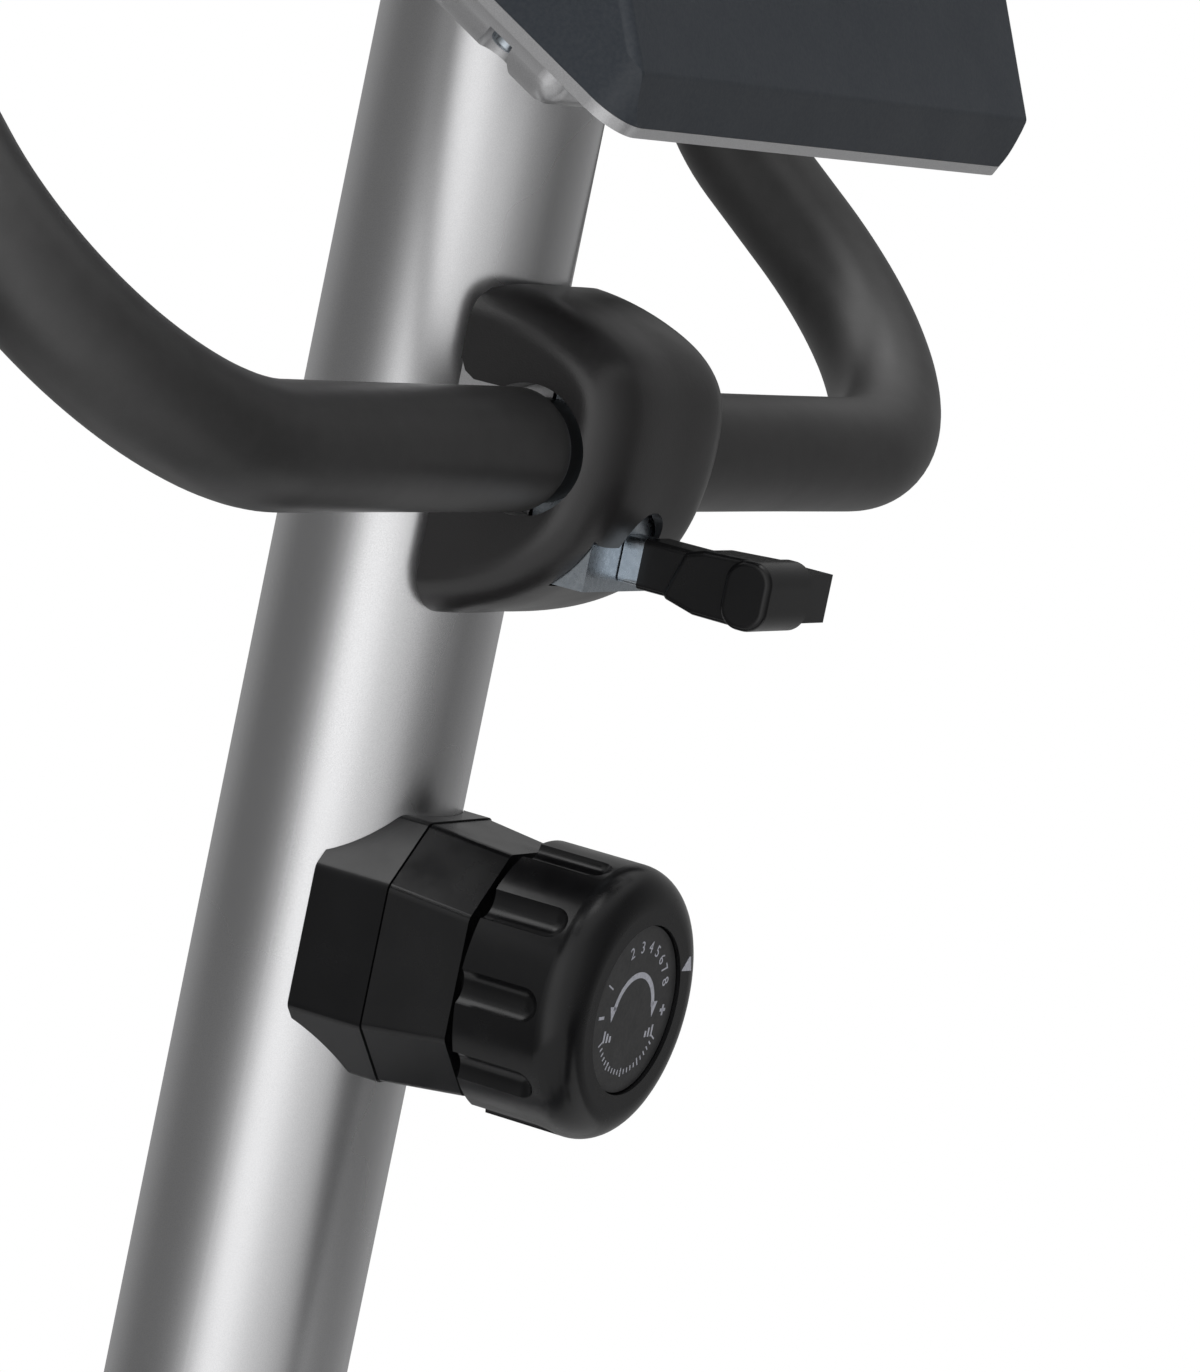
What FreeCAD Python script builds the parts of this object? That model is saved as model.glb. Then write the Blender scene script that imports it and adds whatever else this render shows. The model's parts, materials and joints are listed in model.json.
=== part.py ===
import FreeCAD
import Part
import os
from math import atan2, cos, degrees, pi, radians, sin, sqrt, tan

# Upright magnetic exercise bike. Millimetres.
# +X points forward (the way the rider looks), +Y to the rider's left, +Z up.
# The origin is on the floor, under the middle of the bike.

V = FreeCAD.Vector
RUN = 0.05  # radial clearance of a running fit
SKIN = 0.3  # gap between a soft piece and its neighbour

# Base
REACH = 480.0
SPAN = 510.0
FOOT_TUBE_R = 25.0
FOOT_AXIS_Z = 32.0
CAP_R = 31.0
CAP_LENGTH = 52.0
WHEEL_R = 28.0
WHEEL_WIDTH = 22.0
WHEEL_Z = 30.0
WHEEL_PIN_R = 4.0
PIN_TRAVEL = 8.0
REAR_FOOT_X = -(REACH - CAP_R)
WHEEL_X = REACH - WHEEL_R
FRONT_FOOT_X = WHEEL_X - 24.0
BEAM_WIDTH = 60.0
BEAM_HEIGHT = 40.0
BEAM_BOTTOM_Z = FOOT_AXIS_Z + FOOT_TUBE_R
BEAM_TOP_Z = BEAM_BOTTOM_Z + BEAM_HEIGHT
TUBE_WALL = 2.5

# Handlebar post and bar
POST_LEAN = 13.2
POST_R = 30.0
SOCKET_R = 36.0
SOCKET_TOP = -720.0
BAR_X = 95.0
BAR_Z = 1085.0
BAR_TO_POST = 46.8
BAR_R = 12.7
FOAM_R = 15.0
BAR_STRAIGHT = 149.0
BAR_BEND_R = 66.0
ARM_RISE = 53.8
ARM_INWARD = 0.155
ARM_TOP = 235.0
GRIP_BEND_R = 62.0
GRIP_LENGTH = 285.0
GRIP_SLOPE = 4.0
PLUG_LENGTH = 9.0

# Bar clamp
CLAMP_BOLT_DROP = 22.6
CLAMP_BOLT_R = 4.0
CLAMP_HALF_WIDTH = 22.0
COVER_HALF_WIDTH = 32.5
COVER_BORE_R = 16.0
COVER_ROUND = 15.0
COVER_INSET = 11.0
SLOT_R = 9.0
T_BAR_OUT = 57.0
T_LOBE_END = 15.0
T_TAB_END = 23.0

# Tension control
TENSION_DROP = 129.4
HOUSING_HALF_WIDTH = 30.7
HOUSING_HALF_HEIGHT = 33.0
HOUSING_BEVEL = 15.2
HOUSING_SEAM = 33.7
HOUSING_END = 56.0
KNOB_BACK = 60.0
KNOB_FRONT = 91.5
KNOB_R = 34.6
KNOB_ROUND = 9.0
KNOB_GROOVES = 10
GROOVE_R = 5.0
DIAL_FACE = 90.4
DIAL_R = 21.0
SPINDLE_R = 5.0
POINTER_ANGLE = -66.5

# Console
CONSOLE_TILT = 42.3
CONSOLE_BACK = -65.3
CONSOLE_LOW = 71.9
CONSOLE_DEPTH = 165.0
CONSOLE_HALF_WIDTH = 108.0
CONSOLE_CORNER = 10.0
CONSOLE_EDGE = 2.5
CHIN_ANGLE = 79.3
CHIN_LENGTH = 50.0
FACE_ANGLE = 46.0
FACE_LENGTH = 112.0
CONSOLE_WALL = 2.5
RIM_THICKNESS = 3.0
SHELL_DEPTH = 12.5
SHELL_START = 19.0
SHELL_INSET = 3.0
SHELL_ROUND = 6.0
BRACKET_THICKNESS = 3.0
LENS_WIDTH = 104.0
LENS_HEIGHT = 52.0
BUTTON_R = 8.0
BUTTON_PITCH = 34.0
BUTTON_TRAVEL = 1.5

# Seat
SEAT_LEAN = 15.0
SEAT_TUBE_R = 25.0
SEAT_TUBE_TOP = 295.0
SEAT_POST_R = 19.0
SEAT_POST_TOP = 430.0
SEAT_POST_BOTTOM = 32.0
HOLE_PITCH = 25.0
HOLE_COUNT = 8
PIN_HEIGHT = 262.0
PIN_R = 4.0
RAIL_LENGTH = 190.0
RAIL_SIZE = 38.0
SADDLE_LENGTH = 285.0
SADDLE_WIDTH = 240.0
SADDLE_THICKNESS = 52.0

# Drive
CRANK_X = -70.0
CRANK_Z = 290.0
CRANK_LENGTH = 170.0
CRANK_ANGLE = -35.0
CRANK_AXLE_R = 8.5
SHELL_R = 20.0
PULLEY_R = 100.0
PULLEY_Y = -42.0
PULLEY_WIDTH = 14.0
FLYWHEEL_X = 145.0
FLYWHEEL_Z = 240.0
FLYWHEEL_R = 110.0
FLYWHEEL_WIDTH = 22.0
SMALL_PULLEY_R = PULLEY_R / 8
FLYWHEEL_AXLE_R = 8.0
BELT_THICKNESS = 3.0
PLATE_Y = 28.0
PLATE_THICKNESS = 4.0
SHROUD_HALF_WIDTH = 62.0
SHROUD_WALL = 2.5
SHROUD_REAR_R = 135.0
SHROUD_FRONT_R = 140.0
CRANK_INNER_Y = 72.0
CRANK_THICKNESS = 14.0
PEDAL_LENGTH = 92.0
PEDAL_WIDTH = 84.0
PEDAL_THICKNESS = 22.0
SPINDLE_PEDAL_R = 6.0
STRAP_WIDTH = 28.0
STRAP_THICKNESS = 2.4
STRAP_HEIGHT = 58.0

LEFT = 1
RIGHT = -1

POST_ORIGIN = V(BAR_X + BAR_TO_POST * cos(radians(POST_LEAN)), 0,
                BAR_Z + BAR_TO_POST * sin(radians(POST_LEAN)))
CRANK = V(CRANK_X, 0, CRANK_Z)
FLYWHEEL = V(FLYWHEEL_X, 0, FLYWHEEL_Z)
PLUS_X = V(1, 0, 0)
PLUS_Y = V(0, 1, 0)
PLUS_Z = V(0, 0, 1)


# ---- Small tools ----

def rod(start, end, radius):
    """A round bar from one point to another."""
    along = end - start
    return Part.makeCylinder(radius, along.Length, start, along)


def pipe(start, end, outer, inner):
    """A round tube, open at both ends."""
    return rod(start, end, outer).cut(rod(start, end, inner))


def block(low, high):
    """A box between two opposite corners."""
    size = high - low
    return Part.makeBox(size.x, size.y, size.z, low)


def across(x, z, radius, y_low, y_high):
    """A round bar that lies across the bike."""
    return rod(V(x, y_low, z), V(x, y_high, z), radius)


def slab(points, y_low, y_high):
    """A side outline of (x, z) corners, extruded across the bike."""
    corners = [V(x, y_low, z) for x, z in points]
    face = Part.Face(Part.makePolygon(corners + corners[:1]))
    return face.extrude(V(0, y_high - y_low, 0))


def leaning(shape, angle, origin):
    """Tip a piece back (its top moves rearward) about the Y axis and set it at a point."""
    placed = shape.copy()
    tip = FreeCAD.Placement(origin, FreeCAD.Rotation(PLUS_Y, -angle))
    placed.Placement = tip.multiply(placed.Placement)
    return placed


def leaning_point(point, angle, origin):
    """Where a point of a tipped piece lands."""
    return FreeCAD.Placement(origin, FreeCAD.Rotation(PLUS_Y, -angle)).multVec(point)


def on_post(shape):
    """Post frame: +Z up the post, -X toward the rider, origin level with the bar."""
    return leaning(shape, POST_LEAN, POST_ORIGIN)


def on_console(shape):
    """Console frame: +X up the rim plane, +Z out of it, origin at the rim's low end."""
    return leaning(shape, CONSOLE_TILT, V(BAR_X + CONSOLE_BACK, 0, BAR_Z + CONSOLE_LOW))


def on_seat(shape):
    """Seat frame: +Z up the seat tube, origin on the crank axis."""
    return leaning(shape, SEAT_LEAN, CRANK)


def mirrored(shape):
    """The same piece on the other side of the bike."""
    return shape.mirror(V(0, 0, 0), PLUS_Y)


def both_sides(shape):
    """A left piece and its right twin, as separate solids."""
    return Part.Compound([shape, mirrored(shape)])


def fused(shapes):
    """Several shapes as one solid."""
    return shapes[0].fuse(list(shapes[1:])).removeSplitter()


def softened(shape, radius, wanted):
    """Round the edges that a test picks out."""
    return shape.makeFillet(radius, [edge for edge in shape.Edges if wanted(edge)])


def hull_face(centre_a, radius_a, centre_b, radius_b, y):
    """The belt-like outline round two circles in a side view, as a face."""
    gap = centre_b - centre_a
    heading = atan2(gap.z, gap.x)
    spread = sqrt(1 - ((radius_a - radius_b) / gap.Length) ** 2)
    turn = atan2(spread, (radius_a - radius_b) / gap.Length)

    def rim(centre, radius, angle):
        return V(centre.x + radius * cos(angle), y, centre.z + radius * sin(angle))

    top_a = rim(centre_a, radius_a, heading + turn)
    top_b = rim(centre_b, radius_b, heading + turn)
    low_a = rim(centre_a, radius_a, heading - turn)
    low_b = rim(centre_b, radius_b, heading - turn)
    edges = [
        Part.Arc(low_a, rim(centre_a, radius_a, heading + pi), top_a).toShape(),
        Part.LineSegment(top_a, top_b).toShape(),
        Part.Arc(top_b, rim(centre_b, radius_b, heading), low_b).toShape(),
        Part.LineSegment(low_b, low_a).toShape(),
    ]
    return Part.Face(Part.Wire(edges))


def bent_path(corners, radii):
    """Straight runs through the corners, each corner rounded by a tangent arc."""
    edges = []
    start = corners[0]
    for before, corner, after, radius in zip(corners, corners[1:], corners[2:], radii):
        into = (corner - before).normalize()
        out = (after - corner).normalize()
        half_turn = into.getAngle(out) / 2
        arc_start = corner - into * (radius * tan(half_turn))
        arc_end = corner + out * (radius * tan(half_turn))
        inward = (out - into).normalize()
        arc_middle = corner + inward * (radius / cos(half_turn) - radius)
        edges.append(Part.LineSegment(start, arc_start).toShape())
        edges.append(Part.Arc(arc_start, arc_middle, arc_end).toShape())
        start = arc_end
    edges.append(Part.LineSegment(start, corners[-1]).toShape())
    return Part.Wire(edges)


def swept(path, radius):
    """A round bar that follows a path."""
    first = path.OrderedEdges[0]
    start = first.valueAt(first.FirstParameter)
    heading = first.tangentAt(first.FirstParameter)
    section = Part.Wire(Part.makeCircle(radius, start, heading))
    return path.makePipeShell([section], True, False)


# ---- Base ----

def main_beam():
    """Floor beam, a rectangular tube that joins the two stabilisers."""
    half = BEAM_WIDTH / 2
    outer = block(V(REAR_FOOT_X - 15, -half, BEAM_BOTTOM_Z), V(FRONT_FOOT_X + 15, half, BEAM_TOP_Z))
    outer = softened(outer, 6, lambda edge: abs(edge.tangentAt(0).x) > 0.9)
    inner_half = half - TUBE_WALL
    inner = block(V(REAR_FOOT_X - 12, -inner_half, BEAM_BOTTOM_Z + TUBE_WALL),
                  V(FRONT_FOOT_X + 12, inner_half, BEAM_TOP_Z - TUBE_WALL))
    bolts = [rod(V(x, y, BEAM_BOTTOM_Z - 1), V(x, y, BEAM_TOP_Z + 1), 4.3) for x, y in foot_bolt_places()]
    return outer.cut([inner] + bolts)


def foot_bolt_places():
    """Each stabiliser is held by two bolts through the beam."""
    return [(x, y) for x in (REAR_FOOT_X, FRONT_FOOT_X) for y in (-16, 16)]


def stabilizer(x):
    """A floor tube across the bike."""
    end = SPAN / 2 - 8
    bolts = [rod(V(bx, y, 0), V(bx, y, 100), 4.3) for bx, y in foot_bolt_places() if bx == x]
    return across(x, FOOT_AXIS_Z, FOOT_TUBE_R, -end, end).cut(
        [across(x, FOOT_AXIS_Z, FOOT_TUBE_R - TUBE_WALL, -end, end)] + bolts)


def end_cap(x):
    """Moulded cap over a stabiliser end, with a flat foot that stands on the floor."""
    outer = SPAN / 2
    inner = outer - CAP_LENGTH
    body = across(x, FOOT_AXIS_Z, CAP_R, inner, outer)
    foot = block(V(x - 22, inner, 0), V(x + 22, outer, FOOT_AXIS_Z))
    cap = body.fuse(foot).removeSplitter()
    cap = softened(cap, 4, lambda edge: edge.CenterOfMass.y > outer - 0.1)
    return cap.cut(across(x, FOOT_AXIS_Z, FOOT_TUBE_R, inner - 1, outer - 8))


def rear_end_caps():
    """Caps of the rear stabiliser."""
    return both_sides(end_cap(REAR_FOOT_X))


def wheel_middle_y():
    """Middle of a transport wheel across the bike."""
    return SPAN / 2 - CAP_LENGTH / 2


def wheel_room():
    """Room in which the left transport wheel turns."""
    half = WHEEL_WIDTH / 2 + 1
    return across(WHEEL_X, WHEEL_Z, WHEEL_R + 2.5, wheel_middle_y() - half, wheel_middle_y() + half)


def front_end_caps():
    """Caps of the front stabiliser, each with two cheeks and a pin for a transport wheel."""
    middle = wheel_middle_y()
    cap = end_cap(FRONT_FOOT_X)
    cheeks = slab([(FRONT_FOOT_X, 10), (WHEEL_X + 6, 18), (WHEEL_X + 14, 30), (WHEEL_X + 6, 44),
                   (FRONT_FOOT_X, 58)], middle - 22, middle + 22)
    cap = cap.fuse(cheeks.cut(across(FRONT_FOOT_X, FOOT_AXIS_Z, FOOT_TUBE_R, 0, SPAN / 2 - 8)))
    tube_room = across(FRONT_FOOT_X, FOOT_AXIS_Z, FOOT_TUBE_R, 0, SPAN / 2 - 8)
    pin = across(WHEEL_X, WHEEL_Z, WHEEL_PIN_R, middle - 21, middle + 21)
    return both_sides(cap.cut([wheel_room(), tube_room]).fuse(pin).removeSplitter())


def stabilizer_front():
    """Front floor tube, notched where the transport wheels turn."""
    middle = wheel_middle_y()
    tube = stabilizer(FRONT_FOOT_X)
    room = wheel_room().fuse(across(WHEEL_X, WHEEL_Z, WHEEL_PIN_R + 0.3, middle - 22, middle + 22))
    return tube.cut([room, mirrored(room)])


def transport_wheel(side):
    """Solid wheel with a shallow dish on each face."""
    half = WHEEL_WIDTH / 2
    wheel = across(WHEEL_X, WHEEL_Z, WHEEL_R, -half, half)
    wheel = wheel.makeFillet(3, [edge for edge in wheel.Edges if edge.Curve.TypeId == "Part::GeomCircle"])
    for y in (half, -half):
        depth = 3 if y > 0 else -3
        dish = across(WHEEL_X, WHEEL_Z, WHEEL_R - 7, y - depth, y).cut(
            across(WHEEL_X, WHEEL_Z, 9, y - depth, y))
        wheel = wheel.cut(dish)
    wheel = wheel.cut(across(WHEEL_X, WHEEL_Z, WHEEL_PIN_R + RUN, -half - 1, half + 1))
    return wheel.translated(V(0, side * wheel_middle_y(), 0))


def frame_bolts():
    """Domed bolts with washers: two through each stabiliser and six round the post socket."""
    bolts = []
    for x, y in foot_bolt_places():
        shank = rod(V(x, y, FOOT_AXIS_Z + 6), V(x, y, BEAM_TOP_Z + 3), 4)
        washer = rod(V(x, y, BEAM_TOP_Z), V(x, y, BEAM_TOP_Z + 1.6), 9)
        bolts.append(fused([shank, washer, domed_nut(V(x, y, BEAM_TOP_Z + 1.6), PLUS_Z)]))
    for height in (-750, -785):
        for direction in (V(0, 1, 0), V(0, -1, 0), V(-1, 0, 0)):
            base = V(0, 0, height) + direction * (SOCKET_R + 0.2)
            head = rod(base, base + direction * 1.6, 8)
            shank = rod(V(0, 0, height) + direction * (POST_R - 6), base, 4)
            bolts.append(on_post(fused([head, shank, domed_nut(base + direction * 1.6, direction)])))
    return Part.Compound(bolts)


def domed_nut(base, direction):
    """A domed cap nut or bolt head."""
    skirt = rod(base, base + direction * 3.5, 6.5)
    dome = Part.makeSphere(6.5, base + direction * 3.5).common(
        rod(base + direction * 3.5, base + direction * 9, 7))
    return skirt.fuse(dome)


# ---- Frame ----

def post_clear(radius):
    """Room for the post, in the post frame."""
    return rod(V(0, 0, -1200), V(0, 0, 300), radius)


def post_socket():
    """Slanted socket tube, welded on the beam, that takes the handlebar post."""
    tube = on_post(rod(V(0, 0, -1150), V(0, 0, SOCKET_TOP), SOCKET_R))
    bore = on_post(rod(V(0, 0, -1150), V(0, 0, SOCKET_TOP + 1), POST_R + 0.2))
    under_beam = block(V(200, -100, -400), V(700, 100, BEAM_TOP_Z))
    holes = []
    for height in (-750, -785):
        for direction in (V(0, 1, 0), V(0, -1, 0), V(-1, 0, 0)):
            holes.append(on_post(rod(V(0, 0, height), V(0, 0, height) + direction * 50, 4.2)))
    return tube.cut([bore, under_beam] + holes)


def handlebar_post():
    """Straight round post, cut level with the console's bracket at its top."""
    tube = on_post(pipe(V(0, 0, -830), V(0, 0, 200), POST_R, POST_R - 2))
    above = on_console(block(V(-300, -200, -SHELL_DEPTH - BRACKET_THICKNESS), V(400, 200, 300)))
    holes = []
    for height in (-750, -785):
        for direction in (V(0, 1, 0), V(0, -1, 0), V(-1, 0, 0)):
            holes.append(on_post(rod(V(0, 0, height), V(0, 0, height) + direction * 50, 4.2)))
    return tube.cut([above] + holes)


def post_boot():
    """Moulded collar that hides the top of the socket."""
    low = rod(V(0, 0, SOCKET_TOP - 14), V(0, 0, SOCKET_TOP + 8), SOCKET_R + 5)
    taper = Part.makeCone(SOCKET_R + 5, POST_R + 4, 24, V(0, 0, SOCKET_TOP + 8), PLUS_Z)
    room = rod(V(0, 0, SOCKET_TOP - 20), V(0, 0, SOCKET_TOP), SOCKET_R + 0.1)
    return on_post(low.fuse(taper).removeSplitter().cut([room, post_clear(POST_R + 0.1)]))


def seat_tube():
    """Slanted tube from the beam to the seat post, with the pin's sleeve welded on its front."""
    outer = on_seat(rod(V(0, 0, -260), V(0, 0, SEAT_TUBE_TOP), SEAT_TUBE_R))
    inner = on_seat(rod(V(0, 0, -260), V(0, 0, SEAT_TUBE_TOP + 1), SEAT_TUBE_R - 2))
    under = block(V(-300, -100, -300), V(300, 100, BEAM_TOP_Z))
    shell_room = across(CRANK_X, CRANK_Z, SHELL_R, -60, 60)
    sleeve = on_seat(rod(V(SEAT_TUBE_R - 1, 0, PIN_HEIGHT), V(43, 0, PIN_HEIGHT), 8))
    pin_hole = on_seat(rod(V(0, 0, PIN_HEIGHT), V(60, 0, PIN_HEIGHT), PIN_R + RUN))
    return fused([outer, sleeve]).cut([inner, under, shell_room, pin_hole])


def seat_bushing():
    """Moulded sleeve and collar in the mouth of the seat tube."""
    sleeve = rod(V(0, 0, SEAT_TUBE_TOP - 60), V(0, 0, SEAT_TUBE_TOP), SEAT_TUBE_R - 2)
    collar = rod(V(0, 0, SEAT_TUBE_TOP), V(0, 0, SEAT_TUBE_TOP + 12), SEAT_TUBE_R + 3)
    collar = softened(collar, 3, lambda edge: edge.CenterOfMass.z > SEAT_TUBE_TOP + 11)
    bore = rod(V(0, 0, SEAT_TUBE_TOP - 61), V(0, 0, SEAT_TUBE_TOP + 13), SEAT_POST_R + RUN)
    pin_room = rod(V(0, 0, PIN_HEIGHT), V(60, 0, PIN_HEIGHT), PIN_R + 0.5)
    return on_seat(sleeve.fuse(collar).removeSplitter().cut([bore, pin_room]))


def bottom_bracket():
    """Shell with its sealed bearings pressed in; the crank axle turns in it."""
    ends = (V(CRANK_X, -34, CRANK_Z), V(CRANK_X, 34, CRANK_Z))
    return pipe(ends[0], ends[1], SHELL_R, CRANK_AXLE_R + RUN)


def flywheel_fork():
    """Two upright plates on the beam, joined by the pin that the magnet bracket swings on."""
    outline = [(88, BEAM_TOP_Z), (204, BEAM_TOP_Z), (172, 252), (80, 346), (38, 346), (38, 312), (112, 232)]
    pivot = magnet_pivot()
    plate = slab(outline, PLATE_Y - PLATE_THICKNESS, PLATE_Y).cut(
        across(FLYWHEEL_X, FLYWHEEL_Z, FLYWHEEL_AXLE_R + RUN, 0, 60))
    pin = across(pivot.x, pivot.z, 4, -PLATE_Y, PLATE_Y)
    return fused([pin, plate, mirrored(plate)])


def magnet_pivot():
    """Axis of the magnet bracket, above and behind the flywheel."""
    reach = FLYWHEEL_R + 15
    return FLYWHEEL + V(-reach * sin(radians(45)), 0, reach * cos(radians(45)))


# ---- Shroud ----

def shroud_half(side):
    """One half of the drive cover: a drum-like shell round the pulley and the flywheel."""
    width = SHROUD_HALF_WIDTH
    outer = hull_face(CRANK, SHROUD_REAR_R, FLYWHEEL, SHROUD_FRONT_R, 0).extrude(V(0, width, 0))
    outer = softened(outer, 14, lambda edge: edge.CenterOfMass.y > width - 0.1)
    wall = SHROUD_WALL
    inner = hull_face(CRANK, SHROUD_REAR_R - wall, FLYWHEEL, SHROUD_FRONT_R - wall, -1)
    inner = inner.extrude(V(0, width + 1 - wall, 0))
    inner = softened(inner, 12, lambda edge: edge.CenterOfMass.y > width - wall - 0.1)
    raised = across(CRANK_X, CRANK_Z, 92, width - 1, width + 3)
    raised = softened(raised, 2, lambda edge: edge.CenterOfMass.y > width + 2.9)
    shell = outer.cut(inner).fuse(raised).removeSplitter()
    half_beam = BEAM_WIDTH / 2 + 4
    shell = shell.cut([
        across(CRANK_X, CRANK_Z, 21, 0, width + 10),
        on_seat(rod(V(0, 0, -300), V(0, 0, 400), SEAT_TUBE_R + 0.5)),
        block(V(-65, -1, 90), V(215, half_beam, 135)),
    ] + [across(x, z, 2.2, 0, width + 10) for x, z in shroud_screw_places()])
    for x, z in shroud_screw_places():
        boss = pipe(V(x, 0.1, z), V(x, width - wall, z), 6, 2.2)
        shell = shell.fuse(boss)
    shell = shell.removeSplitter()
    return shell if side == LEFT else mirrored(shell)


def shroud_screw_places():
    """Screws near the rim of the shroud, clear of everything that turns."""
    ring = SHROUD_REAR_R - 11
    rear = [(CRANK_X + ring * cos(radians(a)), CRANK_Z + ring * sin(radians(a))) for a in (150, 210)]
    ring = SHROUD_FRONT_R - 11
    front = [(FLYWHEEL_X + ring * cos(radians(a)), FLYWHEEL_Z + ring * sin(radians(a))) for a in (-30, 20)]
    return rear + front


def pan_screw(length):
    """Pan-head screw with a cross recess: its head's seat is at the origin, its shank up +Z."""
    head = rod(V(0, 0, -2.4), V(0, 0, 0), 3.8)
    head = softened(head, 1, lambda edge: edge.CenterOfMass.z < -2.3)
    cross = block(V(-2, -0.5, -2.5), V(2, 0.5, -1.4)).fuse(block(V(-0.5, -2, -2.5), V(0.5, 2, -1.4)))
    return head.fuse(rod(V(0, 0, 0), V(0, 0, length), 1.85)).removeSplitter().cut(cross)


def shroud_screws():
    """Screws that hold the two shroud halves together, driven in from the left."""
    screws = []
    for x, z in shroud_screw_places():
        screw = pan_screw(40)
        screw.rotate(V(0, 0, 0), PLUS_X, 90)
        screws.append(screw.translated(V(x, SHROUD_HALF_WIDTH, z)))
    return screws


# ---- Drive ----

def drive_pulley():
    """Large belt pulley with its hub and five windows, made in one with the crank axle."""
    y = PULLEY_Y
    half = PULLEY_WIDTH / 2
    wheel = across(CRANK_X, CRANK_Z, PULLEY_R + 3, y - half, y + half)
    groove = across(CRANK_X, CRANK_Z, PULLEY_R + 4, y - 5.5, y + 5.5).cut(
        across(CRANK_X, CRANK_Z, PULLEY_R - 0.3, y - 5.5, y + 5.5))
    dish = across(CRANK_X, CRANK_Z, PULLEY_R - 10, y - half, y - 2).fuse(
        across(CRANK_X, CRANK_Z, PULLEY_R - 10, y + 2, y + half))
    windows = []
    for index in range(5):
        angle = 2 * pi * index / 5
        windows.append(across(CRANK_X + 58 * cos(angle), CRANK_Z + 58 * sin(angle), 22, y - 10, y + 10))
    wheel = wheel.cut([groove, dish] + windows)
    hub = across(CRANK_X, CRANK_Z, 24, y - half, y + half - 0.5)
    end = CRANK_INNER_Y + CRANK_THICKNESS
    axle = across(CRANK_X, CRANK_Z, CRANK_AXLE_R, -end, end)
    return fused([wheel, hub, axle])


def crank_arm(side):
    """Crank: an eye on the axle, a tapering arm and an eye for the pedal spindle."""
    low = CRANK_INNER_Y
    high = low + CRANK_THICKNESS
    arm = Part.makeBox(CRANK_LENGTH, CRANK_THICKNESS - 2, 26, V(0, low + 1, -13))
    arm = softened(arm, 4, lambda edge: abs(edge.tangentAt(0).x) > 0.9)
    eye = rod(V(0, low, 0), V(0, high, 0), 18)
    tip = rod(V(CRANK_LENGTH, low, 0), V(CRANK_LENGTH, high, 0), 14)
    body = fused([arm, eye, tip]).cut([
        rod(V(0, low - 1, 0), V(0, high + 1, 0), CRANK_AXLE_R),
        rod(V(CRANK_LENGTH, low - 1, 0), V(CRANK_LENGTH, high + 1, 0), SPINDLE_PEDAL_R)])
    if side == RIGHT:
        body = mirrored(body)
        body.rotate(V(0, 0, 0), PLUS_Y, 180)
    body.rotate(V(0, 0, 0), PLUS_Y, -CRANK_ANGLE)
    return body.translated(CRANK)


def pedal_centre(side):
    """Middle of a pedal's axle line on the crank's tip."""
    angle = radians(CRANK_ANGLE)
    reach = CRANK_LENGTH * side
    return V(CRANK_X + reach * cos(angle), 0, CRANK_Z + reach * sin(angle))


def pedal_spindles():
    """Pedal spindles, screwed into the cranks, each with a hexagon collar."""
    spindles = []
    for side in (LEFT, RIGHT):
        centre = pedal_centre(side)
        inner = CRANK_INNER_Y + 1
        collar = CRANK_INNER_Y + CRANK_THICKNESS
        shaft = across(centre.x, centre.z, SPINDLE_PEDAL_R, inner, collar + PEDAL_WIDTH - 2)
        hexagon = Part.Face(Part.makePolygon([
            V(centre.x + 9 * cos(pi * k / 3), collar, centre.z + 9 * sin(pi * k / 3)) for k in range(7)]))
        spindle = shaft.fuse(hexagon.extrude(V(0, 5, 0))).removeSplitter()
        spindles.append(spindle if side == LEFT else mirrored(spindle))
    return Part.Compound(spindles)


def pedal(side):
    """Moulded pedal: a tread frame with bars round a centre tube, heavier on its lower side."""
    inner = CRANK_INNER_Y + CRANK_THICKNESS + 8
    outer = inner + PEDAL_WIDTH
    low = -PEDAL_THICKNESS + 7
    frame = block(V(-PEDAL_LENGTH / 2, inner, low), V(PEDAL_LENGTH / 2, outer, 7))
    frame = softened(frame, 7, lambda edge: abs(edge.tangentAt(0).z) > 0.9)
    windows = []
    for x_low, x_high in ((-PEDAL_LENGTH / 2 + 8, -14), (14, PEDAL_LENGTH / 2 - 8)):
        for row in range(3):
            y_low = inner + 8 + row * (PEDAL_WIDTH - 11) / 3
            windows.append(block(V(x_low, y_low, low - 1), V(x_high, y_low + 19, 8)))
    barrel = rod(V(0, inner, 0), V(0, outer, 0), 11)
    ribs = []
    for index in (0, 1, 2, 3, 4, 5, 9, 10, 11, 12, 13, 14):
        x = -PEDAL_LENGTH / 2 + 3 + index * 6
        ribs.append(block(V(x, inner + 3, 7), V(x + 2, outer - 3, 8.6)))
    body = fused([frame, barrel] + ribs).cut(windows + [
        rod(V(0, inner - 1, 0), V(0, outer - 6, 0), SPINDLE_PEDAL_R + RUN)])
    centre = pedal_centre(side)
    body = body.translated(V(centre.x, 0, centre.z))
    return body if side == LEFT else mirrored(body)


def pedal_strap(side):
    """Rubber strap that arches over the foot, fixed to both sides of the pedal."""
    inner = CRANK_INNER_Y + CRANK_THICKNESS + 8
    band = strap_arch(inner - STRAP_THICKNESS - 0.2, inner + PEDAL_WIDTH + STRAP_THICKNESS + 0.2,
                      STRAP_HEIGHT + STRAP_THICKNESS)
    band = band.cut([strap_arch(inner - 0.2, inner + PEDAL_WIDTH + 0.2, STRAP_HEIGHT),
                     rod(V(0, inner - 5, 0), V(0, inner + 1, 0), SPINDLE_PEDAL_R + 1)])
    centre = pedal_centre(side)
    band = band.translated(V(centre.x, 0, centre.z))
    return band if side == LEFT else mirrored(band)


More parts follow.
